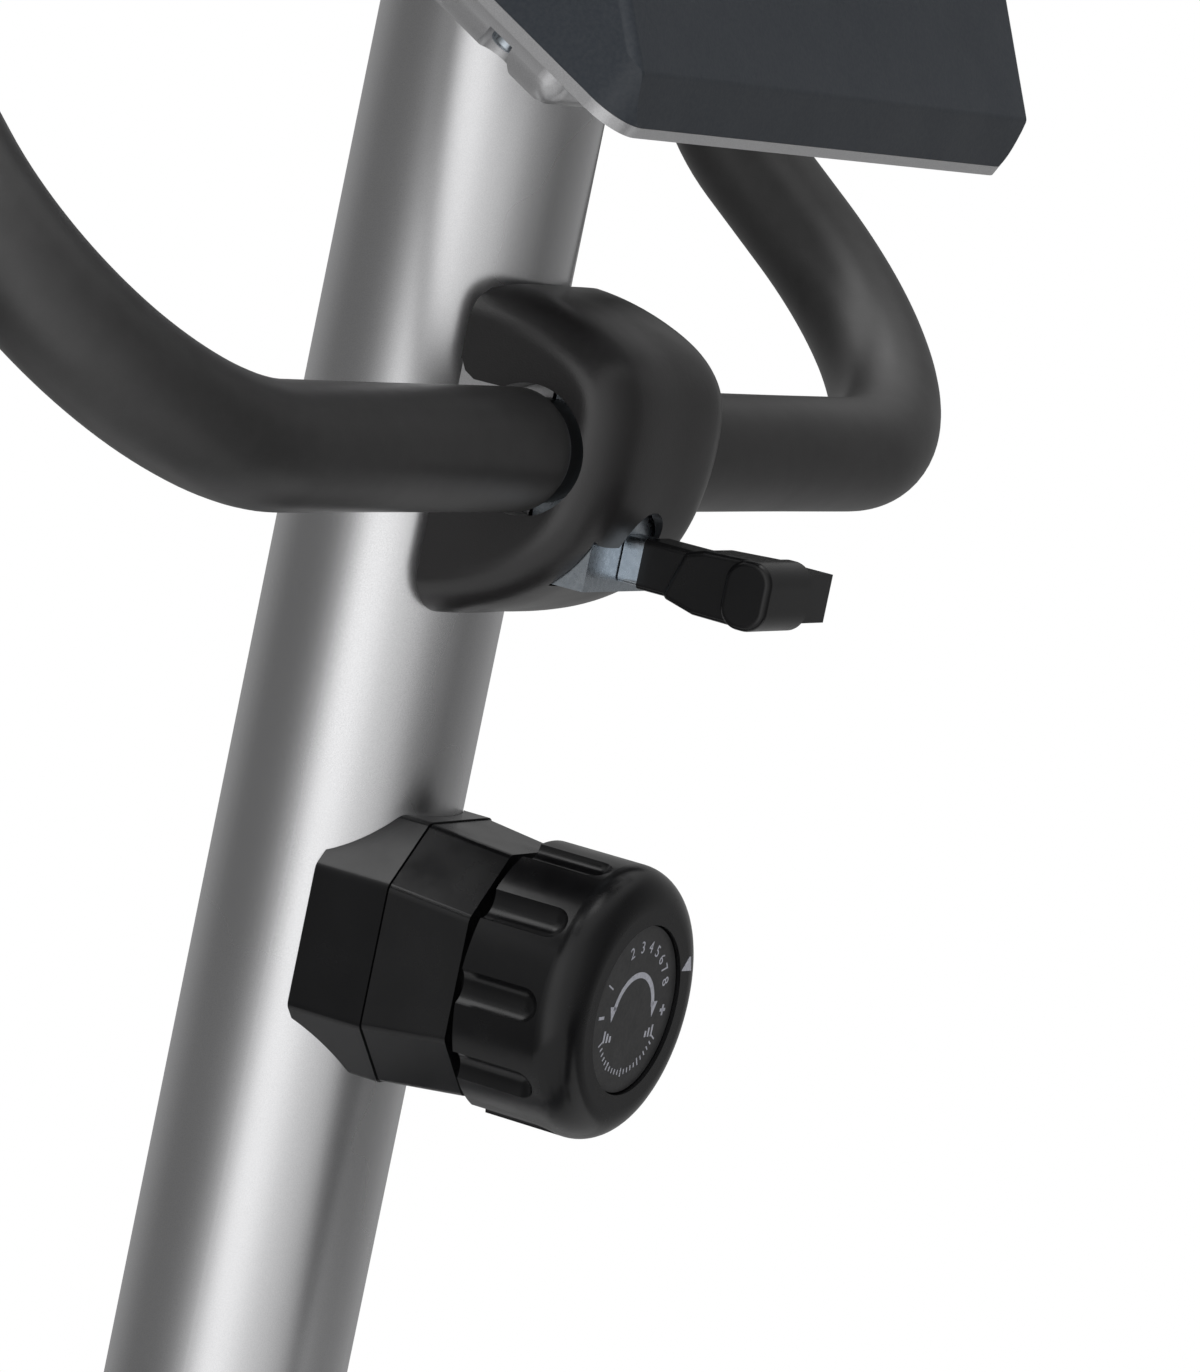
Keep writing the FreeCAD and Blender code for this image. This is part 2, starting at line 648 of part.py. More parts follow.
def strap_arch(y_low, y_high, top):
    """A flat-bottomed arch seen from the front, extruded fore and aft by the strap's width."""
    half = STRAP_WIDTH / 2
    middle = (y_low + y_high) / 2
    shoulder = top - 34
    edges = [
        Part.LineSegment(V(-half, y_low, -12), V(-half, y_low, shoulder)).toShape(),
        Part.Arc(V(-half, y_low, shoulder), V(-half, middle, top), V(-half, y_high, shoulder)).toShape(),
        Part.LineSegment(V(-half, y_high, shoulder), V(-half, y_high, -12)).toShape(),
        Part.LineSegment(V(-half, y_high, -12), V(-half, y_low, -12)).toShape(),
    ]
    return Part.Face(Part.Wire(edges)).extrude(V(STRAP_WIDTH, 0, 0))


def flywheel():
    """Heavy rimmed disc with its shaft and the small belt pulley on the shaft's right end."""
    half = FLYWHEEL_WIDTH / 2
    disc = across(FLYWHEEL_X, FLYWHEEL_Z, FLYWHEEL_R, -half, half)
    disc = softened(disc, 1.5, lambda edge: edge.Curve.TypeId == "Part::GeomCircle")
    for y_low, y_high in ((-half - 1, -5), (5, half + 1)):
        dish = across(FLYWHEEL_X, FLYWHEEL_Z, FLYWHEEL_R - 22, y_low, y_high).cut(
            across(FLYWHEEL_X, FLYWHEEL_Z, 26, y_low, y_high))
        disc = disc.cut(dish)
    y = PULLEY_Y
    shaft = across(FLYWHEEL_X, FLYWHEEL_Z, FLYWHEEL_AXLE_R, y, PLATE_Y + 4)
    pulley = across(FLYWHEEL_X, FLYWHEEL_Z, SMALL_PULLEY_R + 3, y - 7, y + 7)
    groove = across(FLYWHEEL_X, FLYWHEEL_Z, SMALL_PULLEY_R + 4, y - 5.5, y + 5.5).cut(
        across(FLYWHEEL_X, FLYWHEEL_Z, SMALL_PULLEY_R - 0.3, y - 5.5, y + 5.5))
    return fused([disc, shaft, pulley.cut(groove)])


def drive_belt():
    """Flat belt round the two pulleys."""
    y = PULLEY_Y - 5
    outer = hull_face(CRANK, PULLEY_R + BELT_THICKNESS, FLYWHEEL, SMALL_PULLEY_R + BELT_THICKNESS, y)
    inner = hull_face(CRANK, PULLEY_R, FLYWHEEL, SMALL_PULLEY_R, y)
    return outer.cut(inner).extrude(V(0, 10, 0))


def rim_sector(inner, outer, start, end, half_width):
    """Part of a ring round the flywheel, between two angles in the side view."""
    ring = across(FLYWHEEL_X, FLYWHEEL_Z, outer, -half_width, half_width).cut(
        across(FLYWHEEL_X, FLYWHEEL_Z, inner, -half_width, half_width))
    reach = 2 * outer
    middle = (start + end) / 2
    wedge = [(FLYWHEEL_X, FLYWHEEL_Z)]
    for angle in (start, middle, end):
        wedge.append((FLYWHEEL_X + reach * cos(radians(angle)), FLYWHEEL_Z + reach * sin(radians(angle))))
    return ring.common(slab(wedge, -half_width, half_width))


def magnet_bracket():
    """Curved yoke over the flywheel rim, with an eye on the pivot pin."""
    pivot = magnet_pivot()
    yoke = rim_sector(FLYWHEEL_R + 5, FLYWHEEL_R + 8.5, 58, 138, 19)
    eye = across(pivot.x, pivot.z, 9, -19, 19)
    body = yoke.fuse(eye).removeSplitter()
    return body.cut([across(pivot.x, pivot.z, 4 + RUN, -20, 20),
                     across(FLYWHEEL_X, FLYWHEEL_Z, FLYWHEEL_R + 4.9, -20, 20)])


def magnets():
    """Eight block magnets under the yoke."""
    blocks = []
    for index in range(4):
        start = 62 + index * 16
        for y in (-9, 9):
            piece = rim_sector(FLYWHEEL_R + 2, FLYWHEEL_R + 5, start, start + 12, 7)
            blocks.append(piece.translated(V(0, y, 0)))
    return Part.Compound(blocks)


# ---- Bar clamp, in the post frame: the bar's axis is at x = -BAR_TO_POST, z = 0 ----

def at_bar(toward_rider, up):
    """A place in the post frame, measured from the bar's axis."""
    return (-BAR_TO_POST - toward_rider, up)


def bar_hole(radius):
    """Room for the bar."""
    x, z = at_bar(0, 0)
    return across(x, z, radius, -100, 100)


def clamp_bolt_hole(radius):
    """Room for the clamp's bolt, along its own axis."""
    return rod(V(20, 0, -CLAMP_BOLT_DROP), V(-120, 0, -CLAMP_BOLT_DROP), radius)


def bar_cradle():
    """Steel cradle welded on the post, the fixed half of the bar clamp."""
    half = CLAMP_HALF_WIDTH
    body = slab([at_bar(-0.5, 24), at_bar(-0.5, -31), at_bar(-36, -31), at_bar(-36, 24)], -half, half)
    return on_post(body.cut([post_clear(POST_R), bar_hole(BAR_R + RUN),
                             clamp_bolt_hole(CLAMP_BOLT_R + 0.3)]))


def bar_clamp():
    """Steel half that the bolt pulls against the bar."""
    half = CLAMP_HALF_WIDTH
    outline = [at_bar(0.5, 24), at_bar(11, 24), at_bar(18, 13), at_bar(18, -31), at_bar(0.5, -31)]
    body = slab(outline, -half, half)
    return on_post(body.cut([bar_hole(BAR_R + RUN), clamp_bolt_hole(CLAMP_BOLT_R + 0.3)]))


def cover_outline(inset, y):
    """Side outline of the clamp cover, from its upper hook round to its lower hook, drawn in evenly."""
    outline = [at_bar(-21.5, 37.6), at_bar(-13, 37.2), at_bar(-4, 35.6), at_bar(6, 32.4), at_bar(15, 27.6),
               at_bar(21.6, 20), at_bar(24, 8), at_bar(22.6, -8), at_bar(17, -23), at_bar(6, -34.5),
               at_bar(-7, -41.5), at_bar(-21.5, -45.4)]
    points = [V(x, y, z) for x, z in outline]
    corners = [points[0] - PLUS_Z * inset]
    for before, here, after in zip(points, points[1:], points[2:]):
        corners.append(here + (after - before).normalize().cross(PLUS_Y) * inset)
    corners.append(points[-1] + PLUS_Z * inset)
    curve = Part.BSplineCurve()
    curve.interpolate(corners)
    return Part.Wire([curve.toShape(), Part.LineSegment(corners[-1], corners[0]).toShape()])


def clamp_cover():
    """Black moulded C that wraps the clamp and is open toward the post."""
    half = COVER_HALF_WIDTH
    side = [(COVER_INSET * (1 - sin(radians(turn))), half - COVER_ROUND * (1 - cos(radians(turn))))
            for turn in (0, 25, 50, 75, 90)]
    layers = [cover_outline(inset, y) for inset, y in side] + [cover_outline(0, 0)]
    layers += [cover_outline(inset, -y) for inset, y in reversed(side)]
    inner = CLAMP_HALF_WIDTH + 0.5
    room = [at_bar(-30, 25), at_bar(11.5, 25), at_bar(18.8, 13.5), at_bar(18.8, -31.5), at_bar(-30, -31.5)]
    mouth = slab([at_bar(-40, 19), at_bar(-21.2, 17.6), at_bar(-19.8, 15),
                  at_bar(-17, 13.4), at_bar(0, 13.4),
                  at_bar(0, -14), at_bar(-17.5, -14), at_bar(-20.3, -15.6), at_bar(-21.6, -18),
                  at_bar(-40, -19)], -half - 1, half + 1)
    hook_corner = slab([at_bar(-30, 31), at_bar(-21.5, 32.5), at_bar(-20.2, 35.4), at_bar(-17, 37),
                        at_bar(-12, 39), at_bar(-30, 45)], -half - 1, half + 1)
    body = Part.makeLoft(layers, True)
    slot_start = -BAR_TO_POST - 10
    slot = fused([rod(V(slot_start, 0, z), V(-120, 0, z), SLOT_R)
                  for z in (-CLAMP_BOLT_DROP - 3, -CLAMP_BOLT_DROP, -CLAMP_BOLT_DROP + 3)])
    return on_post(body.cut([slab(room, -inner, inner), mouth, hook_corner, bar_hole(COVER_BORE_R),
                             post_clear(POST_R + 0.2), slot]))


def bolt_block(start, end, height, width):
    """A square-edged piece on the clamp bolt, between two distances from the bar."""
    z = -CLAMP_BOLT_DROP
    piece = block(V(-BAR_TO_POST - end, -width / 2, z - height / 2),
                  V(-BAR_TO_POST - start, width / 2, z + height / 2))
    return softened(piece, 1.5, lambda edge: abs(edge.tangentAt(0).x) > 0.9)


def clamp_screw():
    """Plated bolt with a square neck that draws the clamp together."""
    z = -CLAMP_BOLT_DROP
    shank = rod(V(-BAR_TO_POST + 12, 0, z), V(-BAR_TO_POST - 34, 0, z), CLAMP_BOLT_R)
    return on_post(fused([shank, bolt_block(18.3, 24, 11.5, 11.5)]))


def clamp_knob():
    """T-shaped hand knob on the clamp bolt: a deep lobe on the rider's left, a square tab on the right."""
    z = -CLAMP_BOLT_DROP
    x = -BAR_TO_POST - T_BAR_OUT
    lobe = block(V(x - 6.2, -8, z - 8.5), V(x + 6.2, T_LOBE_END, z + 8.5))
    lobe = softened(lobe, 5.5, lambda edge: abs(edge.tangentAt(0).y) > 0.9)
    lobe = softened(lobe, 1.5, lambda edge: edge.CenterOfMass.y > T_LOBE_END - 0.1)
    tab = block(V(x - 4.5, -T_TAB_END, z - 6), V(x + 4.5, 0, z + 6))
    tab = softened(tab, 1, lambda edge: edge.CenterOfMass.y < 0.1 - T_TAB_END)
    flare = slab([(x + 24, z - 6), (x + 15, z - 8.3), (x, z - 8.5), (x, z + 8.5), (x + 15, z + 7.6),
                  (x + 20, z + 6)], -6, 11)
    flare = softened(flare, 1.5, lambda edge: edge.CenterOfMass.x > x + 1)
    hub = bolt_block(24.2, T_BAR_OUT, 12.5, 14)
    return on_post(fused([hub, flare, lobe, tab]).cut(
        rod(V(-BAR_TO_POST - 20, 0, z), V(-BAR_TO_POST - 34, 0, z), CLAMP_BOLT_R)))


# ---- Tension control, on an axis across the post toward the rider ----

def tension_axis(distance):
    """A point on the knob's axis, measured from the middle of the post toward the rider."""
    return V(-distance, 0, -TENSION_DROP)


def housing_outline(inset, distance):
    """Outline of the housing: a rectangle with four wide bevels."""
    centre = tension_axis(distance)
    width = HOUSING_HALF_WIDTH - inset
    height = HOUSING_HALF_HEIGHT - inset
    upper = [(width, height - HOUSING_BEVEL), (width - HOUSING_BEVEL, height)]
    upper += [(-y, z) for y, z in reversed(upper)]
    outline = upper + [(-y, -z) for y, z in upper]
    corners = [centre + V(0, y, z) for y, z in outline]
    return Part.makePolygon(corners + corners[:1])


def tension_ring(start, end, radius):
    """A round solid on the knob's axis."""
    return rod(tension_axis(start), tension_axis(end), radius)


def tension_housing_rear():
    """Rear half of the housing, saddled on the post."""
    body = Part.Face(housing_outline(0, 13)).extrude(V(-(HOUSING_SEAM - 13), 0, 0))
    body = softened(body, 3, lambda edge: abs(edge.tangentAt(0).x) > 0.9)
    return on_post(body.cut([post_clear(POST_R + 0.1), tension_ring(10, 40, 22)]))


def tension_housing_front():
    """Front half of the housing, tapering toward the knob."""
    start = HOUSING_SEAM + 0.3
    body = Part.makeLoft([housing_outline(0.4, start), housing_outline(2.5, HOUSING_END)], True)
    body = softened(body, 3, lambda edge: abs(edge.tangentAt(0).x) > 0.9)
    lip = tension_ring(HOUSING_SEAM - 2, start, 21.8)
    neck = tension_ring(HOUSING_END, KNOB_BACK - 1.2, 25)
    return on_post(fused([body, lip, neck]).cut([tension_ring(HOUSING_SEAM - 3, HOUSING_END - 3, 18),
                                                 tension_ring(20, 70, SPINDLE_R)]))


def tension_knob():
    """Knob that turns round the fixed dial: a domed front and wide pads between grooves on its side."""
    front = tension_axis(KNOB_FRONT).x
    body = softened(tension_ring(KNOB_BACK, KNOB_FRONT, KNOB_R), KNOB_ROUND,
                    lambda edge: abs(edge.CenterOfMass.x - front) < 0.1)
    grooves = []
    for index in range(KNOB_GROOVES):
        angle = 2 * pi * (index + 0.5) / KNOB_GROOVES
        offset = V(0, sin(angle), cos(angle)) * (KNOB_R + 2.3)
        start = tension_axis(KNOB_BACK - 1) + offset
        end = tension_axis(KNOB_FRONT - 14) + offset
        grooves += [rod(start, end, GROOVE_R), Part.makeSphere(GROOVE_R, end)]
    return on_post(body.cut(grooves + [tension_ring(KNOB_BACK - 1, KNOB_FRONT + 5, SPINDLE_R + RUN),
                                       tension_ring(DIAL_FACE - 4, KNOB_FRONT + 5, DIAL_R + 0.4),
                                       pointer_block()]))


def tension_dial():
    """Fixed dial plate on the spindle that the knob turns on."""
    plate = tension_ring(DIAL_FACE - 2.5, DIAL_FACE, DIAL_R)
    spindle = tension_ring(HOUSING_SEAM, DIAL_FACE - 2.5, SPINDLE_R)
    return on_post(plate.fuse(spindle).removeSplitter())


def pointer_block():
    """Room and shape of the pointer set in the knob's front, its tip toward the dial."""
    angle = radians(POINTER_ANGLE)
    tip = DIAL_R + 0.9
    corners = []
    for radial, tangential in ((tip, 0), (tip + 4.2, 2), (tip + 4.2, -2), (tip, 0)):
        corners.append(V(-KNOB_FRONT + 0.6, radial * sin(angle) + tangential * cos(angle),
                         -TENSION_DROP + radial * cos(angle) - tangential * sin(angle)))
    return Part.Face(Part.makePolygon(corners)).extrude(V(-0.9, 0, 0))


def knob_pointer():
    """Triangular pointer."""
    return on_post(pointer_block())


# ---- Handlebar ----

def bar_corners():
    """Corner points of the bent bar, from the right grip's end to the left grip's end."""
    arm = V(cos(radians(ARM_RISE)), -ARM_INWARD, sin(radians(ARM_RISE))).normalize()
    half_turn = PLUS_Y.getAngle(arm) / 2
    corner = V(BAR_X, BAR_STRAIGHT + BAR_BEND_R * tan(half_turn), BAR_Z)
    top = corner + arm * ARM_TOP
    slope = radians(GRIP_SLOPE)
    end = top + V(-cos(slope), 0.10, -sin(slope)) * GRIP_LENGTH
    left = [corner, top, end]
    right = [V(p.x, -p.y, p.z) for p in reversed(left)]
    return right + left


def bar_path():
    """Centre line of the whole bar."""
    return bent_path(bar_corners(), [GRIP_BEND_R, BAR_BEND_R, BAR_BEND_R, GRIP_BEND_R])


def half_bar_path(start_y, cut_back):
    """Centre line of the left half of the bar, from a place near the clamp to near the end."""
    corner, top, end = bar_corners()[3:]
    stop = end - (end - top).normalize() * cut_back
    return bent_path([V(BAR_X, start_y, BAR_Z), corner, top, stop], [BAR_BEND_R, GRIP_BEND_R])


def handlebar_tube():
    """Bent steel tube."""
    return swept(bar_path(), BAR_R).cut(swept(bar_path(), BAR_R - 1.8))


def foam_grip(side):
    """Foam sleeve from the clamp cover to the end of the bar."""
    path = half_bar_path(COVER_HALF_WIDTH + 1.5, 1.5)
    foam = swept(path, FOAM_R).cut(swept(path, BAR_R + 0.1))
    return foam if side == LEFT else mirrored(foam)


def grip_line():
    """End point of the left grip and its direction back along the grip."""
    top, end = bar_corners()[4:]
    return end, (top - end).normalize()


def grip_end_plugs():
    """Round plugs that close the ends of the bar."""
    end, back = grip_line()
    head = rod(end - back * PLUG_LENGTH, end, FOAM_R)
    head = softened(head, 5, lambda edge: (edge.CenterOfMass - end).Length > PLUG_LENGTH - 0.2)
    stem = rod(end, end + back * 16, BAR_R - 1.9)
    return both_sides(head.fuse(stem).removeSplitter())


def pulse_sensors():
    """Thin metal plates, an upper and a lower one, wrapped on each grip."""
    end, back = grip_line()
    start = end + back * 45
    stop = end + back * 125
    sleeve = rod(start, stop, FOAM_R + 0.9).cut(rod(start, stop, FOAM_R + SKIN))
    reach = 40
    split = rod(start - back, stop + back, reach)
    low = V(min(start.x, stop.x) - 100, start.y - 30, (start.z + stop.z) / 2 - 3.5)
    gap = Part.makeBox(300, 60, 7, low)
    gap = gap.common(split)
    plates = sleeve.cut(gap)
    return both_sides(plates)


# ---- Console ----

def console_side():
    """Side outline of the console's front moulding, in the console frame."""
    tilt = radians(CONSOLE_TILT)
    chin = radians(CHIN_ANGLE) - tilt
    face = radians(FACE_ANGLE) - tilt
    nose = (4.4, 12)
    chin_top = (nose[0] + CHIN_LENGTH * cos(chin), nose[1] + CHIN_LENGTH * sin(chin))
    crest = (chin_top[0] + FACE_LENGTH * cos(face), chin_top[1] + FACE_LENGTH * sin(face))
    return [(CONSOLE_DEPTH, 0), (0, 0), nose, chin_top, crest, (CONSOLE_DEPTH + 6, 14)]


def console_room():
    """Room inside the front moulding, one wall in from its side outline."""
    half = CONSOLE_HALF_WIDTH - 2 * CONSOLE_WALL
    corners = [V(x, -half, z) for x, z in console_side()]
    outline = Part.Face(Part.makePolygon(corners + corners[:1]))
    return outline.makeOffset2D(-CONSOLE_WALL, 2).extrude(V(0, 2 * half, 0))


def console_plan(depth, z_low, z_high):
    """A plate with the console's plan, its two lower corners rounded."""
    plate = block(V(0, -CONSOLE_HALF_WIDTH, z_low), V(depth, CONSOLE_HALF_WIDTH, z_high))
    return softened(plate, CONSOLE_CORNER, lambda edge: abs(edge.tangentAt(0).z) > 0.9
                    and edge.CenterOfMass.x < 1)


def face_frame():
    """Lower edge of the display face and its upward direction, in the console frame."""
    points = console_side()
    chin_top, crest = points[3], points[4]
    up = V(crest[0] - chin_top[0], 0, crest[1] - chin_top[1]).normalize()
    return V(chin_top[0], 0, chin_top[1]), up


def on_face(shape):
    """Face frame: +X up the display face, +Z out of it, origin at the face's lower edge."""
    origin, up = face_frame()
    angle = degrees(atan2(up.z, up.x))
    return on_console(leaning(shape, angle, origin))


def plate_on_face(x_low, x_high, half_width, z_low, z_high):
    """A rectangular plate on the display face."""
    return block(V(x_low, -half_width, z_low), V(x_high, half_width, z_high))


def console_front():
    """Front moulding of the console: steep chin, display face and side walls."""
    half = CONSOLE_HALF_WIDTH
    outer = softened(slab(console_side(), -half, half), CONSOLE_EDGE,
                     lambda edge: edge.CenterOfMass.z > 1)
    outer = outer.common(console_plan(CONSOLE_DEPTH + 20, -1, 100))
    body = on_console(outer.cut(console_room()))
    face_cuts = [on_face(plate_on_face(34, 34 + LENS_HEIGHT, LENS_WIDTH / 2, -20, 5))]
    for index in (-1, 0, 1):
        face_cuts.append(on_face(rod(V(16, index * BUTTON_PITCH, -20), V(16, index * BUTTON_PITCH, 5),
                                     BUTTON_R + 0.2)))
    return body.cut(face_cuts)


def console_lens():
    """Clear window, flush in the display face."""
    return on_face(plate_on_face(34.2, 33.8 + LENS_HEIGHT, LENS_WIDTH / 2 - 0.2, -2.2, -0.3))


def console_display():
    """Liquid crystal panel behind the window."""
    return on_face(plate_on_face(36, 32 + LENS_HEIGHT, LENS_WIDTH / 2 - 3, -5, -2.4))


def console_button(index):
    """Round push button with a short stem behind it."""
    y = index * BUTTON_PITCH
    cap = rod(V(16, y, -3), V(16, y, 2), BUTTON_R)
    cap = softened(cap, 1, lambda edge: edge.CenterOfMass.z > 1.9)
    stem = rod(V(16, y, -8 + BUTTON_TRAVEL + 0.3), V(16, y, -3), 3)
    return on_face(cap.fuse(stem).removeSplitter())


def shell_screw_places():
    """Screws from below: four at the shell's sides and four through the bracket."""
    side = [(x, y) for x in (38, 138) for y in (-101, 101)]
    bracket = [(x, y) for x in (50, 142) for y in (-24, 24)]
    return side, bracket


def console_shell():
    """Silver rear shell: a thin rim along the outline and a shallow tray under it."""
    half = CONSOLE_HALF_WIDTH - SHELL_INSET
    end = CONSOLE_DEPTH - SHELL_INSET
    tray = block(V(SHELL_START, -half, -SHELL_DEPTH), V(end, half, -RIM_THICKNESS))
    tray = softened(tray, SHELL_ROUND, lambda edge: abs(edge.tangentAt(0).z) > 0.9)
    tray = softened(tray, SHELL_ROUND, lambda edge: edge.CenterOfMass.z < -SHELL_DEPTH + 0.1)
    outer = console_plan(CONSOLE_DEPTH, -RIM_THICKNESS, -0.1).fuse(tray)
    wall = CONSOLE_WALL
    inner = block(V(SHELL_START + wall, wall - half, -SHELL_DEPTH + wall), V(end - wall, half - wall, 1))
    shell = outer.cut(inner)
    side, bracket = shell_screw_places()
    for x, y in side:
        boss = rod(V(x, y, -SHELL_DEPTH), V(x, y, -0.1), 8.5).common(outer)
        shell = shell.fuse(boss).cut([rod(V(x, y, -SHELL_DEPTH - 1), V(x, y, -6), 5.5),
                                      rod(V(x, y, -20), V(x, y, 1), 1.9)])
    for y in (-half, half):
        shell = shell.cut(block(V(56, y - 2, -SHELL_DEPTH - 1), V(60, y + 2, -RIM_THICKNESS)))
    for x, y in bracket:
        shell = shell.fuse(rod(V(x, y, -SHELL_DEPTH), V(x, y, -3), 5)).cut(
            rod(V(x, y, -20), V(x, y, -4), 1.9))
    return on_console(shell.removeSplitter())


def console_bracket():
    """Steel plate welded across the top of the post."""
    low = -SHELL_DEPTH - BRACKET_THICKNESS
    plate = block(V(40, -36, low), V(152, 36, -SHELL_DEPTH))
    plate = softened(plate, 8, lambda edge: abs(edge.tangentAt(0).z) > 0.9)
    holes = [rod(V(x, y, -20), V(x, y, -10), 2.2) for x, y in shell_screw_places()[1]]
    return on_console(plate.cut(holes))


def console_screws():
    """Screws that hold the console together and to the bracket, driven up from below."""
    side, bracket = shell_screw_places()
    screws = []
    for places, seat in ((side, -6), (bracket, -SHELL_DEPTH - BRACKET_THICKNESS)):
        for x, y in places:
            screws.append(on_console(pan_screw(5.5).translated(V(x, y, seat))))
    return screws


# ---- Seat ----

def seat_post():
    """Round post with a row of height holes in its front side."""
    tube = pipe(V(0, 0, SEAT_POST_BOTTOM), V(0, 0, SEAT_POST_TOP), SEAT_POST_R, SEAT_POST_R - 2)
    holes = []
    for index in range(HOLE_COUNT):
        z = PIN_HEIGHT - index * HOLE_PITCH
        holes.append(rod(V(0, 0, z), V(40, 0, z), PIN_R + 0.2))
    return on_seat(tube.cut(holes))


def seat_pin():
    """Locking pin with a round pull knob, drawn pulled out so that the seat post is free."""
    z = PIN_HEIGHT
    start = 43 + PIN_TRAVEL + 1
    end = start + 28
    pin = rod(V(SEAT_POST_R + 0.4, 0, z), V(start + 1, 0, z), PIN_R)
    grip = rod(V(start, 0, z), V(end, 0, z), 17)
    grip = softened(grip, 6, lambda edge: edge.CenterOfMass.x > end - 0.1)
    flutes = []
    for index in range(8):
        angle = 2 * pi * index / 8
        flutes.append(rod(V(start - 1, 19 * cos(angle), z + 19 * sin(angle)),
                          V(end + 1, 19 * cos(angle), z + 19 * sin(angle)), 4.5))
    return on_seat(pin.fuse(grip.cut(flutes)).removeSplitter())


def seat_top_point():
    """Top of the seat post, in the bike's frame."""
    return leaning_point(V(0, 0, SEAT_POST_TOP), SEAT_LEAN, CRANK)


def seat_rail():
    """Level rail on top of the seat post, a square tube with a slot below for the knob's bolt."""
    top = seat_top_point()
    half = RAIL_SIZE / 2
    low = top.z - 8
    outer = block(V(top.x - RAIL_LENGTH / 2, -half, low), V(top.x + RAIL_LENGTH / 2, half, low + RAIL_SIZE))
    outer = softened(outer, 3, lambda edge: abs(edge.tangentAt(0).x) > 0.9)
    inner = block(V(top.x - RAIL_LENGTH / 2 - 1, 2.5 - half, low + 2.5),
                  V(top.x + RAIL_LENGTH / 2 + 1, half - 2.5, low + RAIL_SIZE - 2.5))
    slot = block(V(top.x - 60, -5, low + RAIL_SIZE - 5), V(top.x + 60, 5, low + RAIL_SIZE + 1))
    post_room = on_seat(rod(V(0, 0, 200), V(0, 0, SEAT_POST_TOP), SEAT_POST_R))
    return outer.cut([inner, slot, post_room])


def rail_top():
    """Height of the rail's upper face."""
    return seat_top_point().z - 8 + RAIL_SIZE


def saddle_carriage():
    """Channel that slides on the rail and carries the saddle."""
    top = seat_top_point()
    half = RAIL_SIZE / 2 + SKIN
    z = rail_top() + SKIN
    outer = block(V(top.x - 45, -half - 3, z - 24), V(top.x + 45, half + 3, z + 4))
    room = block(V(top.x - 46, -half, z - 25), V(top.x + 46, half, z))
    wings = block(V(top.x - 40, -60, z + 1), V(top.x + 40, 60, z + 4))
    hole = rod(V(top.x, half, z - 16), V(top.x, half + 10, z - 16), 4.2)
    return outer.fuse(wings).removeSplitter().cut([room, hole])


def saddle_knob():
    """Hand knob on the side of the carriage that locks the saddle's fore and aft position."""
    top = seat_top_point()
    z = rail_top() + SKIN - 16
    y = RAIL_SIZE / 2 + SKIN + 3
    stem = rod(V(top.x, y - 2.8, z), V(top.x, y + 14, z), 4)
    knob = rod(V(top.x, y + 10, z), V(top.x, y + 26, z), 15)
    knob = softened(knob, 4, lambda edge: edge.CenterOfMass.y > y + 25.9)
    flutes = []
    for index in range(6):
        angle = 2 * pi * index / 6
        flutes.append(rod(V(top.x + 17.5 * cos(angle), y + 9, z + 17.5 * sin(angle)),
                          V(top.x + 17.5 * cos(angle), y + 27, z + 17.5 * sin(angle)), 5.5))
    return fused([stem, knob.cut(flutes)])


def saddle_outline(shrink):
    """Plan of the saddle, wide behind and narrow at the nose."""
    length = SADDLE_LENGTH / 2
    width = SADDLE_WIDTH / 2
    side = [(1.0, 0.0), (0.93, 0.2), (0.55, 0.32), (0.12, 0.46), (-0.35, 0.92), (-0.68, 1.0),
            (-0.94, 0.70), (-1.0, 0.0)]
    left = [V(x * (length - shrink), y * (width - shrink), 0) for x, y in side]
    right = [V(p.x, -p.y, 0) for p in reversed(left[1:-1])]
    curve = Part.BSplineCurve()
    curve.interpolate(Points=left + right, PeriodicFlag=True)
    return curve.toShape()


def saddle_layer(shrink, z):
    """One level of the saddle's outline."""
    centre = seat_top_point() + V(10, 0, 0)
    return Part.Wire(saddle_outline(shrink).translated(V(centre.x, 0, rail_top() + SKIN + z)))


def saddle_pan():
    """Moulded pan under the cushion."""
    return Part.makeLoft([saddle_layer(28, 4.1), saddle_layer(6, 12), saddle_layer(5, 20)], True, True)


def saddle_cushion():
    """Foam cushion of the saddle, a plain rounded block."""
    low = 20 + SKIN
    return Part.makeLoft([saddle_layer(6, low), saddle_layer(0.5, low + 10), saddle_layer(0.5, low + 34),
                          saddle_layer(12, low + SADDLE_THICKNESS)], True)


# ---- Every piece ----

